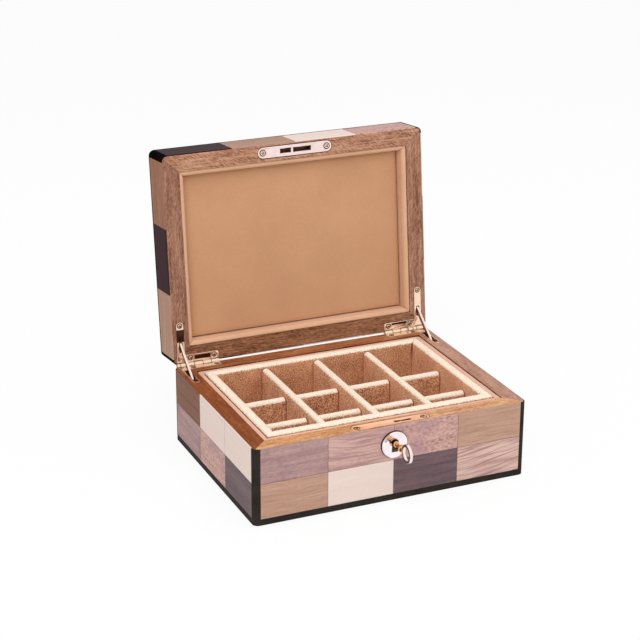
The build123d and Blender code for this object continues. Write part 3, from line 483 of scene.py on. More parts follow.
# Painted shade on the rails: their colour darkens where other surfaces lie within reach.
RAIL_PAINTED_SHADE = ((0.4, (0.2, 0.1, 0.08)), (0.8, (1, 1, 1)))
RAIL_REACH = 5 * MM


def rail_finish(rail):
    """Satin-lacquered hardwood: grain along the rail, short pores and a slanting ripple."""
    dark, middle, light, lean = RAILS[rail]
    on_lid = rail.startswith("lid")
    across = 0 if rail.endswith(("front", "back")) else pi / 2
    finish = Finish(
        f"hardwood_{rail}",
        Coat_Weight=BASE_COAT,
        Coat_Roughness=0.12,
        Coat_IOR=LACQUER_IOR,
        Specular_IOR_Level=0.1,
    )

    def along(size, detail, slant=0, distortion=0.0):
        turn = (0, 0, across + radians(slant))
        return finish.noise(finish.place(size, on_lid, turn), detail, distortion=distortion)

    ripple = along(RIPPLE, 2.0, lean, 0.5)
    grain = along(RAIL_GRAIN, 4.0, distortion=0.4)
    cloud = along(RAIL_CLOUD, 2.0)
    pores = finish.level(along(PORE, 1.0, lean / 2), 0.56, 0.68)
    tone = finish.weighed((ripple, 1.1), (grain, 0.9), (cloud, 0.7))
    wood = finish.tones(tone, (0.22, dark), (0.5, middle), (0.78, light))
    pit = shade(*[PORE_DARKNESS * part for part in dark])
    pored = finish.mix(finish.math("MULTIPLY", pores, 0.5), wood, pit)
    # Painted shade where other surfaces lie close.
    finish.colour(finish.painted_crevice_shade(pored, RAIL_REACH, RAIL_PAINTED_SHADE))
    finish.roughness(grain, 0.3, 0.48)
    finish.bump(finish.math("SUBTRACT", 1.0, pores), 0.05 * MM, 0.5)
    return finish.material


def plain_finish(name, size, detail, tones, rough, relief, **constants):
    """A finish with a single noise for its tones, its roughness and its relief."""
    finish = Finish(name, **constants)
    grain = finish.noise(finish.place(size), detail)
    finish.colour(finish.tones(grain, *tones))
    finish.roughness(grain, *rough)
    finish.bump(grain, *relief)
    return finish.material


def edging_finish(name, coat, dark, light):
    """Gloss black lacquered edging."""
    finish = Finish(name, Coat_Weight=coat, **GLOSS)
    cloud = finish.cloud(14 * MM, 3.0)
    finish.colour(finish.tones(cloud, (0.3, dark), (0.7, light)))
    finish.roughness(cloud, 0.22, 0.36)
    finish.bump(finish.cloud(6 * MM, 2.0), 0.012 * MM, 0.5)
    return finish.material


# --- fabrics -----------------------------------------------------------------------------
# The cream of the painted highlight on the suede's crests and upturned faces, also the sheen's
# tint; and the share of it in the highlight's darker speckle.
SUEDE_TOP = (252, 235, 215)
SUEDE_TOP_SHADE = 0.87
# Tones of the suede's faces turned to the front and back, and lighter ones, painted light, for its
# faces turned sideways.
SUEDE_GOLDEN = ((0.15, (122, 72, 47)), (0.5, (201, 140, 102)), (0.85, (250, 204, 162)))
SUEDE_SIDES_LIT = ((0.15, (158, 100, 72)), (0.5, (232, 172, 134)), (0.85, (254, 214, 176)))
PEBBLE = (0.74 * MM, 1.3 * MM, 0.74 * MM)
# Painted shade on the suede: its colour darkens where other surfaces lie within reach, in corners
# and at the dividers.
SUEDE_PAINTED_SHADE = ((0.25, (0.2, 0.12, 0.08)), (0.6, (1, 1, 1)))
SUEDE_REACH = 3.0 * MM
# How far down from the crest the painted highlight reaches, and where it is full.
CREST_DEPTH = 4.5 * MM
CREST_FULL = 0.4 * MM
CROSS_CREST_DEPTH = 5.0 * MM
CROSS_CREST_FULL = 1.2 * MM


def suede_finish(name, crest, reach=CREST_DEPTH, full=CREST_FULL):
    """Suede: a pebbled pile, with a painted highlight along the crest of a wall or divider.

    Faces turned up and the crest are paler as painted light from above, faces turned sideways
    take lighter tones as painted light, and the colour darkens with painted shade where other
    surfaces lie close.
    """
    sheen = {"Sheen_Weight": 0.08, "Sheen_Roughness": 0.4, "Sheen_Tint": (*shade(*SUEDE_TOP), 1.0)}
    finish = Finish(name, Specular_IOR_Level=0.05, **sheen)
    pebble = finish.noise(finish.place(PEBBLE), 2.0, roughness=0.6)
    tone = finish.weighed((pebble, 2.1), (finish.cloud(13 * MM, 3.0), 0.4))
    # Faces turned sideways take the lighter tones: painted light on the sides.
    sideways = finish.level(finish.math("ABSOLUTE", finish.facing(SIDEWAYS)), 0.4, 0.9)
    golden, sides_lit = finish.tones(tone, *SUEDE_GOLDEN), finish.tones(tone, *SUEDE_SIDES_LIT)
    body = finish.mix(sideways, golden, sides_lit)
    # Painted highlight: paler on faces turned up and near the crest, where light falls from above.
    upward = finish.level(finish.facing(UPWARD), 0.0, 0.7)
    high = finish.level(finish.height(), crest - reach, crest - full)
    light_catching = finish.math("MAXIMUM", upward, finish.math("MULTIPLY", high, 0.75))
    crest_lit = finish.math("MULTIPLY", light_catching, high)
    crest_light_share = finish.level(finish.weighed((crest_lit, 1.0), (pebble, 1.1)), 0.15, 0.75)
    shaded = [SUEDE_TOP_SHADE * part for part in SUEDE_TOP]
    painted_highlight = finish.tones(pebble, (0.34, shaded), (0.52, SUEDE_TOP))
    # The painted highlight laid over the body, then painted shade where other surfaces lie close.
    finish.colour(finish.painted_crevice_shade(finish.mix(crest_light_share, body, painted_highlight), SUEDE_REACH, SUEDE_PAINTED_SHADE))
    finish.roughness(pebble, 0.8, 0.98)
    finish.bump(pebble, 0.35 * MM, 0.8)
    return finish.material


THREAD_LENGTH = 2.5 * MM
THREAD_WIDTH = 0.32 * MM


def lining_finish(name, dark, light, on_lid=False):
    """Fine woven fabric stretched over board."""
    finish = Finish(name, Sheen_Weight=0.2, Sheen_Roughness=0.5, Specular_IOR_Level=0.2)
    threads = []
    for along, across in ((THREAD_LENGTH, THREAD_WIDTH), (THREAD_WIDTH, THREAD_LENGTH)):
        threads.append(finish.noise(finish.place((along, across, across), on_lid), 1.0))
    weave = finish.math("MULTIPLY", finish.math("ADD", *threads), 0.5)
    tone = finish.weighed((weave, 0.6), (finish.cloud(38 * MM, 3.0, on_lid), 0.35))
    finish.colour(finish.tones(tone, (0.36, dark), (0.62, light)))
    finish.roughness(weave, 0.7, 0.92)
    finish.bump(weave, 0.07 * MM, 0.6)
    return finish.material


# --- metals ------------------------------------------------------------------------------
CLOUDING = (246, 243, 240)
# Painted shade on the metals: their colour darkens where other surfaces lie within reach, as in the
# knuckles' gaps and the slots.
METAL_PAINTED_SHADE = ((0.3, (0.12, 0.05, 0.03)), (0.7, (1, 1, 1)))
METAL_REACH = 0.9 * MM
SCRATCH = (9 * MM, 0.12 * MM, 0.12 * MM)
# The leaves' tones: dark on faces turned sideways, painted shade in the knuckles' gaps.
LEAF = {"way": SIDEWAYS, "ahead": (84, 50, 36), "others": (255, 226, 200), "metallic": 0.85}
# Colours of the painted reflections on the lid's and the base's leaves, and how soft their edge is.
DARK_MIRRORED = (70, 40, 26)
WOOD_MIRRORED = (168, 96, 66)
MIRROR_EDGE = 0.4 * MM
# Where the leaves carry a painted reflection: a stretch of X and one of Y in millimetres, counted
# from the CAD's origin on the base, and on the lid from the hinge along the shut lid.
BASE_MIRRORS = ((-105.4, -100.6), (49.4, 74)), ((100.6, 105.4), (49.4, 74))
LID_MIRRORS = {
    "left": (((-110, -98), (-29, -19)), ((-92.5, -79), (-7, -3.6))),
    "right": (((79, 92), (-7.6, -5.8)),),
}


def metal_finish(
    name, way, ahead, others, low=0.08, high=0.2, both=True, metallic=1.0, mirrors=(), on_lid=True
):
    """Polished rose-gold plating, its roughness from low to high.

    It has one tone on faces that look ahead along a way, or back along it if both, and one on
    the others; the darker is painted shade and a painted reflection of dark surroundings on
    edges, sides and gaps.  In some rectangles it has a painted reflection of dark things on the
    lid, or of wood on the base.  It darkens with painted shade where other surfaces lie close.
    """
    finish = Finish(name, Metallic=metallic)
    cloud = finish.cloud(7 * MM, 3.0)
    toward = finish.facing(way)
    if both:
        toward = finish.math("ABSOLUTE", toward)
    # Two tones by facing: the darker one painted shade and painted reflection.
    tones = finish.mix(finish.level(toward, 0.8, 0.97), shade(*others), shade(*ahead))
    for rectangle in mirrors:
        at = finish.split(finish.place((1, 1, 1), on_lid))
        inside = 1.0
        for axis, (start, end) in zip("XY", rectangle):
            half = (end - start) / 2 * MM
            off = finish.math("SUBTRACT", at[axis], (start + end) / 2 * MM)
            away = finish.math("ABSOLUTE", off)
            within = finish.level(away, half + MIRROR_EDGE, half - MIRROR_EDGE)
            inside = finish.math("MULTIPLY", within, inside)
        # Painted reflection inside each rectangle.
        tones = finish.mix(inside, tones, shade(*(DARK_MIRRORED if on_lid else WOOD_MIRRORED)))
    clouded = finish.mix(finish.level(cloud, 0.3, 0.7), tones, shade(*CLOUDING), blend="MULTIPLY")
    # Painted shade where other surfaces lie close.
    finish.colour(finish.painted_crevice_shade(clouded, METAL_REACH, METAL_PAINTED_SHADE))
    finish.roughness(cloud, low, high)
    finish.bump(finish.noise(finish.place(SCRATCH, turn=(0, 0, 0.5)), 1.0), 0.003 * MM, 0.25)
    return finish.material


# --- the materials in use ----------------------------------------------------------------
# In each metal the darker of its two tones is painted shade and a painted reflection of dark
# surroundings, on edges, sides and recesses.
plate_metal = metal_finish("escutcheon_metal", FRONTWARD, (255, 246, 252), (66, 36, 26), both=False)
strike_metal = metal_finish("strike_metal", LID_INWARD, (250, 228, 226), (140, 96, 78), both=False)
selvedge_metal = metal_finish(
    "selvedge_metal", UPWARD, (255, 198, 162), (96, 52, 34), 0.3, 0.4, both=False, metallic=0.25
)
leaf_metal = metal_finish("leaf_metal", **LEAF, mirrors=BASE_MIRRORS, on_lid=False)
lid_leaf_metal = {
    side: metal_finish(f"{side}_leaf_metal", **LEAF, mirrors=mirrors)
    for side, mirrors in LID_MIRRORS.items()
}
stay_metal = metal_finish("stay_metal", SIDEWAYS, (130, 78, 54), (255, 236, 224))
bow_metal = metal_finish("bow_metal", SIDEWAYS, (44, 22, 16), (255, 240, 236), 0.06, 0.14)
shaft_metal = metal_finish("shaft_metal", SIDEWAYS, (48, 22, 12), (240, 182, 124), 0.06, 0.14)
screw_metal = metal_finish("screw_metal", UPWARD, (248, 212, 170), (92, 54, 36))
lid_screw_metal = metal_finish("lid_screw_metal", LID_INWARD, (250, 220, 194), (88, 52, 36))
pin_metal = metal_finish("pin_metal", SIDEWAYS, (236, 196, 160), (150, 98, 66))
# One black lacquer in two copies, lighter on the base and darker on the lid: painted light and
# shade.
base_lacquer = edging_finish("base_lacquer", BASE_EDGING_COAT, (38, 34, 30), (52, 47, 42))
lid_lacquer = edging_finish("lid_lacquer", LID_EDGING_COAT, (6, 5, 5), (14, 12, 11))
board = plain_finish(
    "carcass_board",
    (22 * MM, 22 * MM, 0.7 * MM),
    4.0,
    ((0.3, (132, 96, 62)), (0.55, (176, 138, 98)), (0.8, (198, 164, 124))),
    (0.55, 0.75),
    (0.06 * MM, 0.5),
    Specular_IOR_Level=0.3,
)
steel = plain_finish(
    "brushed_steel",
    (18 * MM, 0.2 * MM, 0.2 * MM),
    3.0,
    ((0.3, (150, 148, 146)), (0.7, (190, 188, 184))),
    (0.3, 0.5),
    (0.01 * MM, 0.4),
    Metallic=1.0,
)
felt = plain_finish(
    "felt",
    (0.5 * MM,) * 3,
    5.0,
    ((0.3, (34, 30, 30)), (0.7, (58, 52, 50))),
    (0.85, 1.0),
    (0.15 * MM, 0.8),
    Sheen_Weight=0.3,
    Specular_IOR_Level=0.1,
)
base_lining = lining_finish("base_lining", (214, 162, 138), (234, 188, 164))
lid_lining = lining_finish("lid_lining", (208, 161, 126), (223, 178, 145), on_lid=True)
pad_lining = lining_finish("pad_lining", (192, 142, 106), (204, 155, 117), on_lid=True)


def dress(node, material):
    """Give a CAD node its material."""
    mesh = frame["nodes"][node].data
    mesh.materials.clear()
    mesh.materials.append(material)


BOARDS = ("base_bottom_board", "lid_walls", "lid_top_board", "lid_pad_board")

for node in frame["nodes"]:
    if "_veneer_" in node:
        dress(node, veneer_finish(node.rsplit("_", 1)[1], node.startswith("lid")))
    elif node in RAILS:
        dress(node, rail_finish(node))
    elif node in ("base_plinth_strip", "base_corner_edges"):
        dress(node, base_lacquer)
    elif node in ("lid_corner_edges", "lid_top_edging"):
        dress(node, lid_lacquer)
    elif node.startswith("base_wall") or node in BOARDS:
        dress(node, board)
    elif node in ("lock_case", "lock_hook"):
        dress(node, steel)
    elif node == "base_felt":
        dress(node, felt)


# --- new pieces --------------------------------------------------------------------------
def in_scene(name, data):
    """A new object of the scene."""
    thing = bpy.data.objects.new(name, data)
    bpy.context.scene.collection.objects.link(thing)
    return thing


def piece(name, bm, material, body, slot, *nodes):
    """A finished mesh as an object that rides on a body and stands for CAD nodes."""
    bmesh.ops.recalc_face_normals(bm, faces=bm.faces)
    mesh = bpy.data.meshes.new(name)
    bm.to_mesh(mesh)
    bm.free()
    mesh.shade_smooth()
    mesh.set_sharp_from_angle(angle=SMOOTH)
    mesh.materials.append(material)
    thing = in_scene(name, mesh)
    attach(thing, body)
    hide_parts(*nodes)
    return thing


def skin(bm, rings, closed=False):
    """Faces between rings of points, with the end rings filled unless the rings close."""
    rings = [[bm.verts.new(point) for point in ring] for ring in rings]
    pairs = list(zip(rings, rings[1:]))
    if closed:
        pairs.append((rings[-1], rings[0]))
    else:
        bm.faces.new(rings[0])
        bm.faces.new(reversed(rings[-1]))
    for before, after in pairs:
        for index in range(len(before)):
            other = (index + 1) % len(before)
            bm.faces.new((before[index], before[other], after[other], after[index]))


def arc(centre_x, centre_z, radius, start, end, steps):
    """Points round part of a circle, given by its start and end in turns of pi."""
    for step in range(steps + 1):
        turn = pi * (start + (end - start) * step / steps)
        yield centre_x + radius * cos(turn), centre_z + radius * sin(turn)


def strip_profile(width, height, radius, inner, rise=8):
    """Outline of a strip, from its outer foot over the rounded top to its inner foot."""
    points = [(0.0, (height - radius) * step / rise) for step in range(rise)]
    points += arc(radius, height - radius, radius, 1.0, 0.5, ROUND_STEPS)
    points += arc(width - inner, height - inner, inner, 0.5, 0.0, ROUND_STEPS)
    points += [(width, (height - inner) * (1 - step / rise)) for step in range(1, rise + 1)]
    return points


def swollen(place, amount, size):
    """Small soft unevenness of stretched fabric at a place."""
    return amount * noise.noise(place / size)


def spaced(step, steps, gather=0.5):
    """Where a step lies between -1 and 1, when the steps gather towards both ends."""
    share = 2 * step / steps - 1
    return sin(share * pi / 2) * gather + share * (1 - gather)


def edge_fall(near, radius):
    """How far a face has fallen at a distance from its edge that is rounded by a radius."""
    lack = max(0.0, 1 - near / radius)
    return radius * (1 - max(0.0, 1 - lack * lack) ** 0.5), lack


def standing(low, high, on_lid):
    """Places a padded form on the foot of its box, or upside down in the open lid."""
    if on_lid:
        return OPENED @ Matrix.Translation((0, 0, high.z)) @ FACING_DOWN
    return Matrix.Translation((0, 0, low.z))


def frame_strips(low, high, width, radius, inner, on_lid=False):
    """Four fabric-wrapped strips mitred at the corners, with a soft seam at each mitre."""
    bm = bmesh.new()
    place = standing(low, high, on_lid)
    height = high.z - low.z
    profile = strip_profile(width, height, radius, inner)
    middle = Vector((width / 2, height - radius))
    for turn in range(4):
        half, out = (high.x, high.y) if turn % 2 == 0 else (high.y, high.x)
        rotation = Matrix.Rotation(turn * pi / 2, 4, "Z")
        rings = []
        for station in range(STRIP_STATIONS + 1):
            share = spaced(station, STRIP_STATIONS)
            ring = []
            for depth, up in profile:
                along = share * (half - depth - MITRE_GAP / 2)
                point = Vector((along, depth - out, up))
                if up > 0:
                    from_end = (half - depth - abs(along)) / SEAM_REACH
                    dip = SEAM_DIP * max(0.0, 1.0 - from_end) ** 2
                    inward = (middle - Vector((depth, up))).normalized() * dip
                    point += Vector((0, inward.x, inward.y))
                    swell = swollen(point + Vector((turn, 0, 0)), NAP_SWELL, STRIP_SWELL_SIZE)
                    point.y += swell * (1 if depth > width / 2 else -1) * 0.5
                    point.z += swell if up > height - radius else 0.0
                ring.append(place @ rotation @ point)
            rings.append(ring)
        skin(bm, rings)
    return bm


def soft_bar(bm, start, end, width, bottom, top, stations):
    """A padded divider: straight sides, a round top, and ends that dip towards the walls."""
    start, end = Vector(start), Vector(end)
    along = (end - start).normalized()
    aside = Vector((-along.y, along.x))
    length = (end - start).length
    radius = width / 2
    rounding = BAR_ROUND * radius
    profile = strip_profile(width, top - bottom, rounding, rounding, rise=6)
    rings = []
    for station in range(stations + 1):
        travelled = length * (spaced(station, stations, 0.6) + 1) / 2
        drop, lack = edge_fall(min(travelled, length - travelled), BAR_END_ROUND)
        pinch = 1 - BAR_PINCH * lack * lack
        ring = []
        for depth, up in profile:
            offset = (depth - radius) * pinch
            raised = up - drop * max(0.0, up / (top - bottom))
            centre = start + along * travelled + aside * offset
            point = Vector((centre.x, centre.y, bottom + raised))
            if up > 0:
                swell = swollen(point, NAP_SWELL, BAR_SWELL_SIZE)
                point.z += swell
                point += Vector((aside.x, aside.y, 0)) * swell * (1 if offset > 0 else -1)
            ring.append(point)
        rings.append(ring)
    skin(bm, rings)


def soft_slab(low, high, edge, crown, on_lid=False):
    """A padded panel: flat back, and a face that rounds over at the edge and rises inward."""
    bm = bmesh.new()
    place = standing(low, high, on_lid)
    thickness = high.z - low.z - crown
    grid, foot = [], {}
    for row in range(SLAB_ROWS + 1):
        line = []
        for column in range(SLAB_COLUMNS + 1):
            share_x, share_y = spaced(column, SLAB_COLUMNS), spaced(row, SLAB_ROWS)
            x, y = share_x * high.x, share_y * high.y
            fall, lack = edge_fall(min(high.x - abs(x), high.y - abs(y)), edge)
            up = thickness - fall + crown * (1 - share_x**4) * (1 - share_y**4)
            up += swollen(Vector((x, y, 0)), 2 * NAP_SWELL, SLAB_SWELL_SIZE) * (1 - lack)
            vertex = bm.verts.new(place @ Vector((x, y, up)))
            if row in (0, SLAB_ROWS) or column in (0, SLAB_COLUMNS):
                foot[vertex] = bm.verts.new(place @ Vector((x, y, 0)))
            line.append(vertex)
        grid.append(line)
    for near, far in zip(grid, grid[1:]):
        for index in range(SLAB_COLUMNS):
            bm.faces.new((near[index], near[index + 1], far[index + 1], far[index]))
    ends = [line[-1] for line in grid[1:-1]]
    starts = [line[0] for line in grid[-2:0:-1]]
    border = grid[0] + ends + grid[-1][::-1] + starts
    for vertex, other in zip(border, border[1:] + border[:1]):
        bm.faces.new((vertex, other, foot[other], foot[vertex]))
    bm.faces.new([foot[vertex] for vertex in border])
    return bm


def turned(place, profile, sides):
    """Rings of points about a place's own Z axis, from heights and radii."""
    turns = [2 * pi * side / sides for side in range(sides)]
    return [
        [place @ Vector((radius * cos(turn), radius * sin(turn), height)) for turn in turns]
        for height, radius in profile
    ]


def block(bm, low, high):
    """A box between two corners."""
    corners = [
        [(low[0], low[1], z), (high[0], low[1], z), (high[0], high[1], z), (low[0], high[1], z)]
        for z in (low[2], high[2])
    ]
    skin(bm, corners)


def cross_outline(half, arm):
    """Corners and edge middles of a cross, counted round from the end of its first arm."""
    middle = (arm + half) / 2
    quarter = ((arm, 0), (arm, half), (middle, half), (half, half), (half, middle), (half, arm))
    for turn in range(4):
        for x, y in quarter:
            for _ in range(turn):
                x, y = -y, x
            yield Vector((x, y))


def screw(bm, place, head, length, turn):
    """A countersunk screw: shank, cone, rolled rim and a face with a cross recess."""
    place = place @ Matrix.Rotation(turn, 4, "Z")
    profile = [
        (-length, 0.6 * SCREW_SHANK),
        (-length + SCREW_POINT, SCREW_SHANK),
        (-SCREW_DEPTH, SCREW_SHANK),
    ]
    profile += [(height, head - inset) for height, inset in SCREW_RIM]
    rings = turned(place, profile, SCREW_SIDES)
    for height, spread in SCREW_CROSS:
        outline = [spread * head * point for point in cross_outline(CROSS_HALF, CROSS_ARM)]
        rings.append([place @ Vector((*point, height)) for point in outline])
    skin(bm, rings)


def loose_parts(node, shut):
    """The lowest and highest corner of each separate solid of a CAD node, from the left."""
    bm = bmesh.new()
    bm.from_mesh(frame["nodes"][node].data)
    bm.transform(shut)
    bmesh.ops.remove_doubles(bm, verts=bm.verts, dist=WELD)
    left = set(bm.verts)
    found = []
    while left:
        solid, border = [], [left.pop()]
        while border:
            vertex = border.pop()
            solid.append(vertex.co.copy())
            near = {link.other_vert(vertex) for link in vertex.link_edges} & left
            left -= near
            border += near
        found.append(extent(solid))
    bm.free()
    return sorted(found, key=lambda ends: tuple(ends[0]))


def screw_set(name, node, material, body):
    """A CAD node's screws, each with its head where the CAD has it."""
    bm = bmesh.new()
    on_lid = body == "lid"
    shut = OPENED.inverted() if on_lid else Matrix()
    for index, (low, high) in enumerate(loose_parts(node, shut)):
        middle = (low + high) / 2
        if on_lid:
            place = OPENED @ Matrix.Translation((middle.x, middle.y, low.z)) @ FACING_DOWN
        else:
            place = Matrix.Translation((middle.x, middle.y, high.z))
        screw(bm, place, HEAD_FIT * (high.x - low.x), high.z - low.z, SCREW_TURN * index)
    return piece(name, bm, material, body, "rose_gold", node)


def softened(name, node, material, body, width, steps=2):
    """A copy of a CAD node's mesh with its outer edges rounded over, and no point outside it."""
    bm = bmesh.new()
    bm.from_mesh(frame["nodes"][node].data)
    bmesh.ops.remove_doubles(bm, verts=bm.verts, dist=WELD)
    bmesh.ops.dissolve_limit(bm, angle_limit=FLAT, verts=bm.verts, edges=bm.edges)
    crisp = [edge for edge in bm.edges if edge.is_convex and edge.calc_face_angle() > CRISP]
    shell = BVHTree.FromBMesh(bm)
    bmesh.ops.bevel(
        bm,
        geom=crisp,
        offset=width,
        offset_type="OFFSET",
        affect="EDGES",
        segments=steps,
        profile=0.5,
        clamp_overlap=False,
    )
    for vertex in bm.verts:
        nearest, outward, _, _ = shell.find_nearest(vertex.co)
        if (vertex.co - nearest).dot(outward) > 0:
            vertex.co = nearest
    return piece(name, bm, material, body, "rose_gold", node)


# --- the insert: walls, dividers and floor in suede --------------------------------------
tray_low, tray_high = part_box("tray_walls")
floor_low, floor_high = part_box("tray_floor")
_, long_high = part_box("tray_long_dividers")
cross_low, cross_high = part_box("tray_cross_dividers")
wall_suede = suede_finish("suede_walls", tray_high.z)
long_suede = suede_finish("suede_long_dividers", long_high.z)
cross_suede = suede_finish(
    "suede_cross_dividers", cross_high.z, CROSS_CREST_DEPTH, CROSS_CREST_FULL
)
strips = frame_strips(tray_low, tray_high, TRAY_WALL, WALL_ROUND, WALL_ROUND)
tray_walls = piece("insert_walls", strips, wall_suede, "base", "suede", "tray_walls")

bars = bmesh.new()
for share in (-1, 0, 1):
    x = share * (long_high.x - DIVIDER / 2)
    ends = (x, floor_low.y), (x, floor_high.y)
    soft_bar(bars, *ends, DIVIDER, floor_high.z, long_high.z, LONG_BAR_STATIONS)
long_dividers = piece(
    "insert_long_dividers", bars, long_suede, "base", "suede", "tray_long_dividers"
)

bars = bmesh.new()
column = (2 * cross_high.x - 3 * DIVIDER) / 4
for y in (cross_low.y + DIVIDER / 2, cross_high.y - DIVIDER / 2):
    for index in range(4):
        x = cross_low.x + index * (column + DIVIDER)
        ends = (x, y), (x + column, y)
        soft_bar(bars, *ends, DIVIDER, floor_high.z, cross_high.z, CROSS_BAR_STATIONS)
cross_dividers = piece(
    "insert_cross_dividers", bars, cross_suede, "base", "suede", "tray_cross_dividers"
)

slab = soft_slab(floor_low, floor_high, FLOOR_EDGE, 0.0)
tray_floor = piece("insert_floor", slab, wall_suede, "base", "suede", "tray_floor")

# --- linings of the two cases ------------------------------------------------------------
strips = frame_strips(*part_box("base_liner"), BASE_LINER, LINER_ROUND, LINER_ROUND)
base_liner = piece("base_lining_strips", strips, base_lining, "base", "lining", "base_liner")

strips = frame_strips(
    *shut_box("lid_liner"), LID_LINER, LID_LINER_ROUND, LID_LINER_SLOPE, on_lid=True
)
lid_liner = piece("lid_lining_strips", strips, lid_lining, "lid", "lining", "lid_liner")

slab = soft_slab(*shut_box("lid_pad"), PAD_EDGE, PAD_CROWN, on_lid=True)
lid_pad = piece("lid_panel_pad", slab, pad_lining, "lid", "lining", "lid_pad")

# --- metalwork: plates, hinges, stays, screws, escutcheon and key ------------------------
softened("strike_plate_metal", "strike_plate", strike_metal, "lid", PLATE_BEVEL, steps=1)
softened("selvedge_metal", "lock_selvedge", selvedge_metal, "base", PLATE_BEVEL, steps=1)
for side in ("left", "right"):
    softened(f"base_leaf_{side}", f"hinge_base_leaf_{side}", leaf_metal, "base", LEAF_BEVEL)
    softened(f"lid_leaf_{side}", f"hinge_lid_leaf_{side}", lid_leaf_metal[side], "lid", LEAF_BEVEL)
    softened(f"stay_{side}_metal", f"stay_link_{side}", stay_metal, f"stay_{side}", STAY_BEVEL)
softened("rivets", "stay_rivets", pin_metal, "lid", LEAF_BEVEL)
softened("pins", "hinge_pins", pin_metal, "base", LEAF_BEVEL)
screw_set("base_leaf_screws", "base_hinge_screws", screw_metal, "base")
screw_set("selvedge_plate_screws", "selvedge_screws", screw_metal, "base")
screw_set("lid_leaf_screws", "lid_hinge_screws", lid_screw_metal, "lid")
screw_set("strike_plate_screws", "strike_screws", lid_screw_metal, "lid")

# --- escutcheon with its keyhole ---------------------------------------------------------
shield_low, shield_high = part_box("escutcheon")
shield_radius = shield_high.x
shield_middle = Vector((0, (shield_low.z + shield_high.z) / 2))
keyhole_middle = shield_middle + Vector((0, KEYHOLE_RISE))


def keyhole_reach(turn):
    """How far the keyhole's edge lies from the middle of its round part, along a turn."""
    down = -sin(turn)
    reach = KEYHOLE_RADIUS
    if down > 0:
        slope = (KEYHOLE_FOOT - KEYHOLE_NECK) / 2 / KEYHOLE_DROP
        side = KEYHOLE_NECK / 2 / max(abs(cos(turn)) - slope * down, 1e-9)
        reach = max(reach, min(side, KEYHOLE_DROP / down))
    return reach


bevel = ESCUTCHEON_BEVEL / shield_radius
dome = ESCUTCHEON_DOME / (shield_high.y - shield_low.y)
# From the disc's rim in to the keyhole's edge, and from its back out to its face, as shares.
disc_profile = (
    (0.0, 0.0),
    (0.0, 0.35),
    (0.45 * bevel, 0.75),
    (bevel, 1.0),
    (0.4, 1.0 + 0.7 * dome),
    (0.9, 1.0 + dome),
    (1.0, 1.0),
    (1.0, 0.0),
)
rings = []
for inward, forward in disc_profile:
    ring = []
    for side in range(ESCUTCHEON_SIDES):
        turn = 2 * pi * side / ESCUTCHEON_SIDES
        way = Vector((cos(turn), sin(turn)))
        rim = shield_middle + shield_radius * way
        point = rim.lerp(keyhole_middle + keyhole_reach(turn) * way, inward)
        y = shield_high.y + (shield_low.y - shield_high.y) * forward
        ring.append(Vector((point.x, y, point.y)))
    rings.append(ring)
bm = bmesh.new()
skin(bm, rings, closed=True)
piece("escutcheon_disc", bm, plate_metal, "base", "rose_gold", "escutcheon")

# --- key: bow, then shaft with its bit ---------------------------------------------------
key_low, key_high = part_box("key")
key_height = (key_low.z + key_high.z) / 2
bow_middle = Vector((0, key_low.y + BOW_RADIUS, key_height))
rings = []
for station in range(BOW_STATIONS):
    turn = 2 * pi * station / BOW_STATIONS
    way = Vector((0, cos(turn), sin(turn)))
    ring = []
    for step in range(BOW_SIDES):
        corner = 2 * pi * step / BOW_SIDES
        across, outward = cos(corner), sin(corner)
        sum_of_powers = abs(across) ** BOW_SQUARENESS + abs(outward) ** BOW_SQUARENESS
        squared = sum_of_powers ** (-1 / BOW_SQUARENESS)
        reach = BOW_RADIUS - BOW_BAND / 2 * (1 - squared * outward)
        ring.append(bow_middle + way * reach + Vector((BOW_HALF * squared * across, 0, 0)))
    rings.append(ring)
bm = bmesh.new()
skin(bm, rings, closed=True)
piece("key_bow", bm, bow_metal, "key", "rose_gold", "key")

bm = bmesh.new()
place = Matrix.Translation((0, key_high.y, key_height)) @ Matrix.Rotation(pi / 2, 4, "X")
shaft_length = key_high.y - bow_middle.y - BOW_RADIUS + SHAFT_INTO_BOW * BOW_BAND
shaft_profile = (
    (0.0, KEY_SHAFT - KEY_ROUND),
    (KEY_ROUND, KEY_SHAFT),
    (RING_START, KEY_SHAFT),
    (RING_START + KEY_ROUND, KEY_SHAFT + RING_RISE),
    (RING_END - KEY_ROUND, KEY_SHAFT + RING_RISE),
    (RING_END, KEY_SHAFT - KEY_ROUND),
    (COLLAR_START - NECK_LENGTH, KEY_SHAFT - COLLAR_STEP),
    (COLLAR_START - NECK_FLARE, KEY_SHAFT + COLLAR_STEP),
    (COLLAR_START + KEY_ROUND, COLLAR_RADIUS),
    (COLLAR_END - KEY_ROUND, COLLAR_RADIUS),
    (COLLAR_END + KEY_ROUND, KEY_SHAFT + COLLAR_STEP),
    (shaft_length, KEY_SHAFT),
)
skin(bm, turned(place, shaft_profile, SHAFT_SIDES))
bit_foot = key_height - KEY_BIT_REACH
notch_top = bit_foot + KEY_NOTCH_DEPTH
tooth = (KEY_BIT_WIDTH - KEY_NOTCH) / 2
for start, width, top, foot in (
    (0.0, KEY_BIT_WIDTH, key_height, notch_top),
    (0.0, tooth, notch_top, bit_foot),
    (tooth + KEY_NOTCH, tooth, notch_top, bit_foot),
):
    y = key_high.y - start
    half = KEY_BIT_THICKNESS / 2
    block(bm, (-half, y - width, foot), (half, y, top))
piece("key_shaft", bm, shaft_metal, "key", "rose_gold", "key")

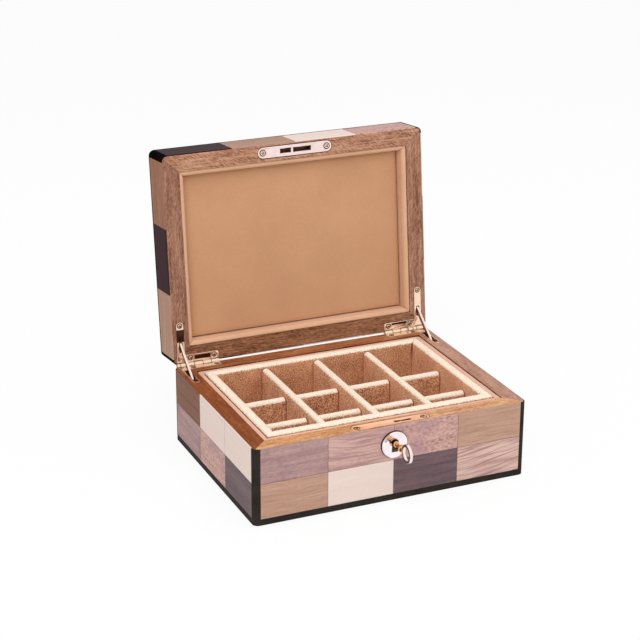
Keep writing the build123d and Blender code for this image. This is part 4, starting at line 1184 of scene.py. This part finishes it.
# --- camera, light and floor -------------------------------------------------------------
back = Vector(
    (sin(CAMERA_YAW) * cos(CAMERA_PITCH), -cos(CAMERA_YAW) * cos(CAMERA_PITCH), sin(CAMERA_PITCH))
)
level_right = Vector((cos(CAMERA_YAW), sin(CAMERA_YAW), 0))
level_up = back.cross(level_right)
right = cos(CAMERA_ROLL) * level_right + sin(CAMERA_ROLL) * level_up
up = cos(CAMERA_ROLL) * level_up - sin(CAMERA_ROLL) * level_right
camera_data = bpy.data.cameras.new("camera")
camera_data.lens = CAMERA_LENS
camera_data.sensor_width = CAMERA_SENSOR
camera_data.clip_end = CAMERA_REACH
camera = in_scene("camera", camera_data)
stand = back * CAMERA_AWAY - right * CAMERA_ASIDE - up * CAMERA_ABOVE
camera.matrix_world = Matrix.Translation(stand) @ Matrix((right, up, back)).transposed().to_4x4()
bpy.context.scene.camera = camera


def softbox(name, place, size, power):
    """A square lamp that looks at the box."""
    lamp = bpy.data.lights.new(name, "AREA")
    lamp.size = size
    lamp.energy = power
    thing = in_scene(name, lamp)
    facing = (LAMP_AIM - Vector(place)).to_track_quat("-Z", "Y")
    thing.matrix_world = Matrix.Translation(place) @ facing.to_matrix().to_4x4()
    thing.visible_camera = False
    thing.visible_glossy = False


softbox("key_light", **KEY_LIGHT)
softbox("top_light", **TOP_LIGHT)


def seen_directly(nodes, links):
    """1 for what the camera sees straight, in a reflection or through glass."""
    path = nodes.new("ShaderNodeLightPath")
    total = path.outputs["Is Camera Ray"]
    for ray in ("Is Glossy Ray", "Is Transmission Ray"):
        largest = nodes.new("ShaderNodeMath")
        largest.operation = "MAXIMUM"
        links.new(total, largest.inputs[0])
        links.new(path.outputs[ray], largest.inputs[1])
        total = largest.outputs[0]
    return total


world = bpy.data.worlds.new("studio")
world.use_nodes = True
bpy.context.scene.world = world
tree = world.node_tree
background = tree.nodes["Background"]
background.inputs["Color"].default_value = (1, 1, 1, 1)
strength = tree.nodes.new("ShaderNodeMapRange")
strength.inputs["To Min"].default_value = WORLD_STRENGTH
strength.inputs["To Max"].default_value = 1.0
tree.links.new(seen_directly(tree.nodes, tree.links), strength.inputs["Value"])
tree.links.new(strength.outputs["Result"], background.inputs["Strength"])

bm = bmesh.new()
bmesh.ops.create_grid(bm, x_segments=1, y_segments=1, size=FLOOR_HALF)
floor_data = bpy.data.meshes.new("floor")
bm.to_mesh(floor_data)
bm.free()
floor = in_scene("floor", floor_data)
floor.location.z = -FLOOR_DROP
finish = Finish("floor", Roughness=0.9, Specular_IOR_Level=0.0)
stops = [(position, (white,) * 3) for position, white in zip((0.3, 0.7), FLOOR_WHITES)]
finish.colour(finish.ramp(finish.cloud(FLOOR_SPECKLE, 2.0), stops))
glow = finish.add("ShaderNodeEmission")
blend = finish.add("ShaderNodeMixShader")
share = finish.math("MULTIPLY", seen_directly(finish.nodes, finish.links), FLOOR_GLOW)
for socket, output in zip(blend.inputs, (share, finish.shader.outputs[0], glow.outputs[0])):
    finish.give(socket, output)
finish.fill(finish.nodes["Material Output"], Surface=blend.outputs[0])
floor_data.materials.append(finish.material)

bpy.context.scene.view_settings.view_transform = "Standard"
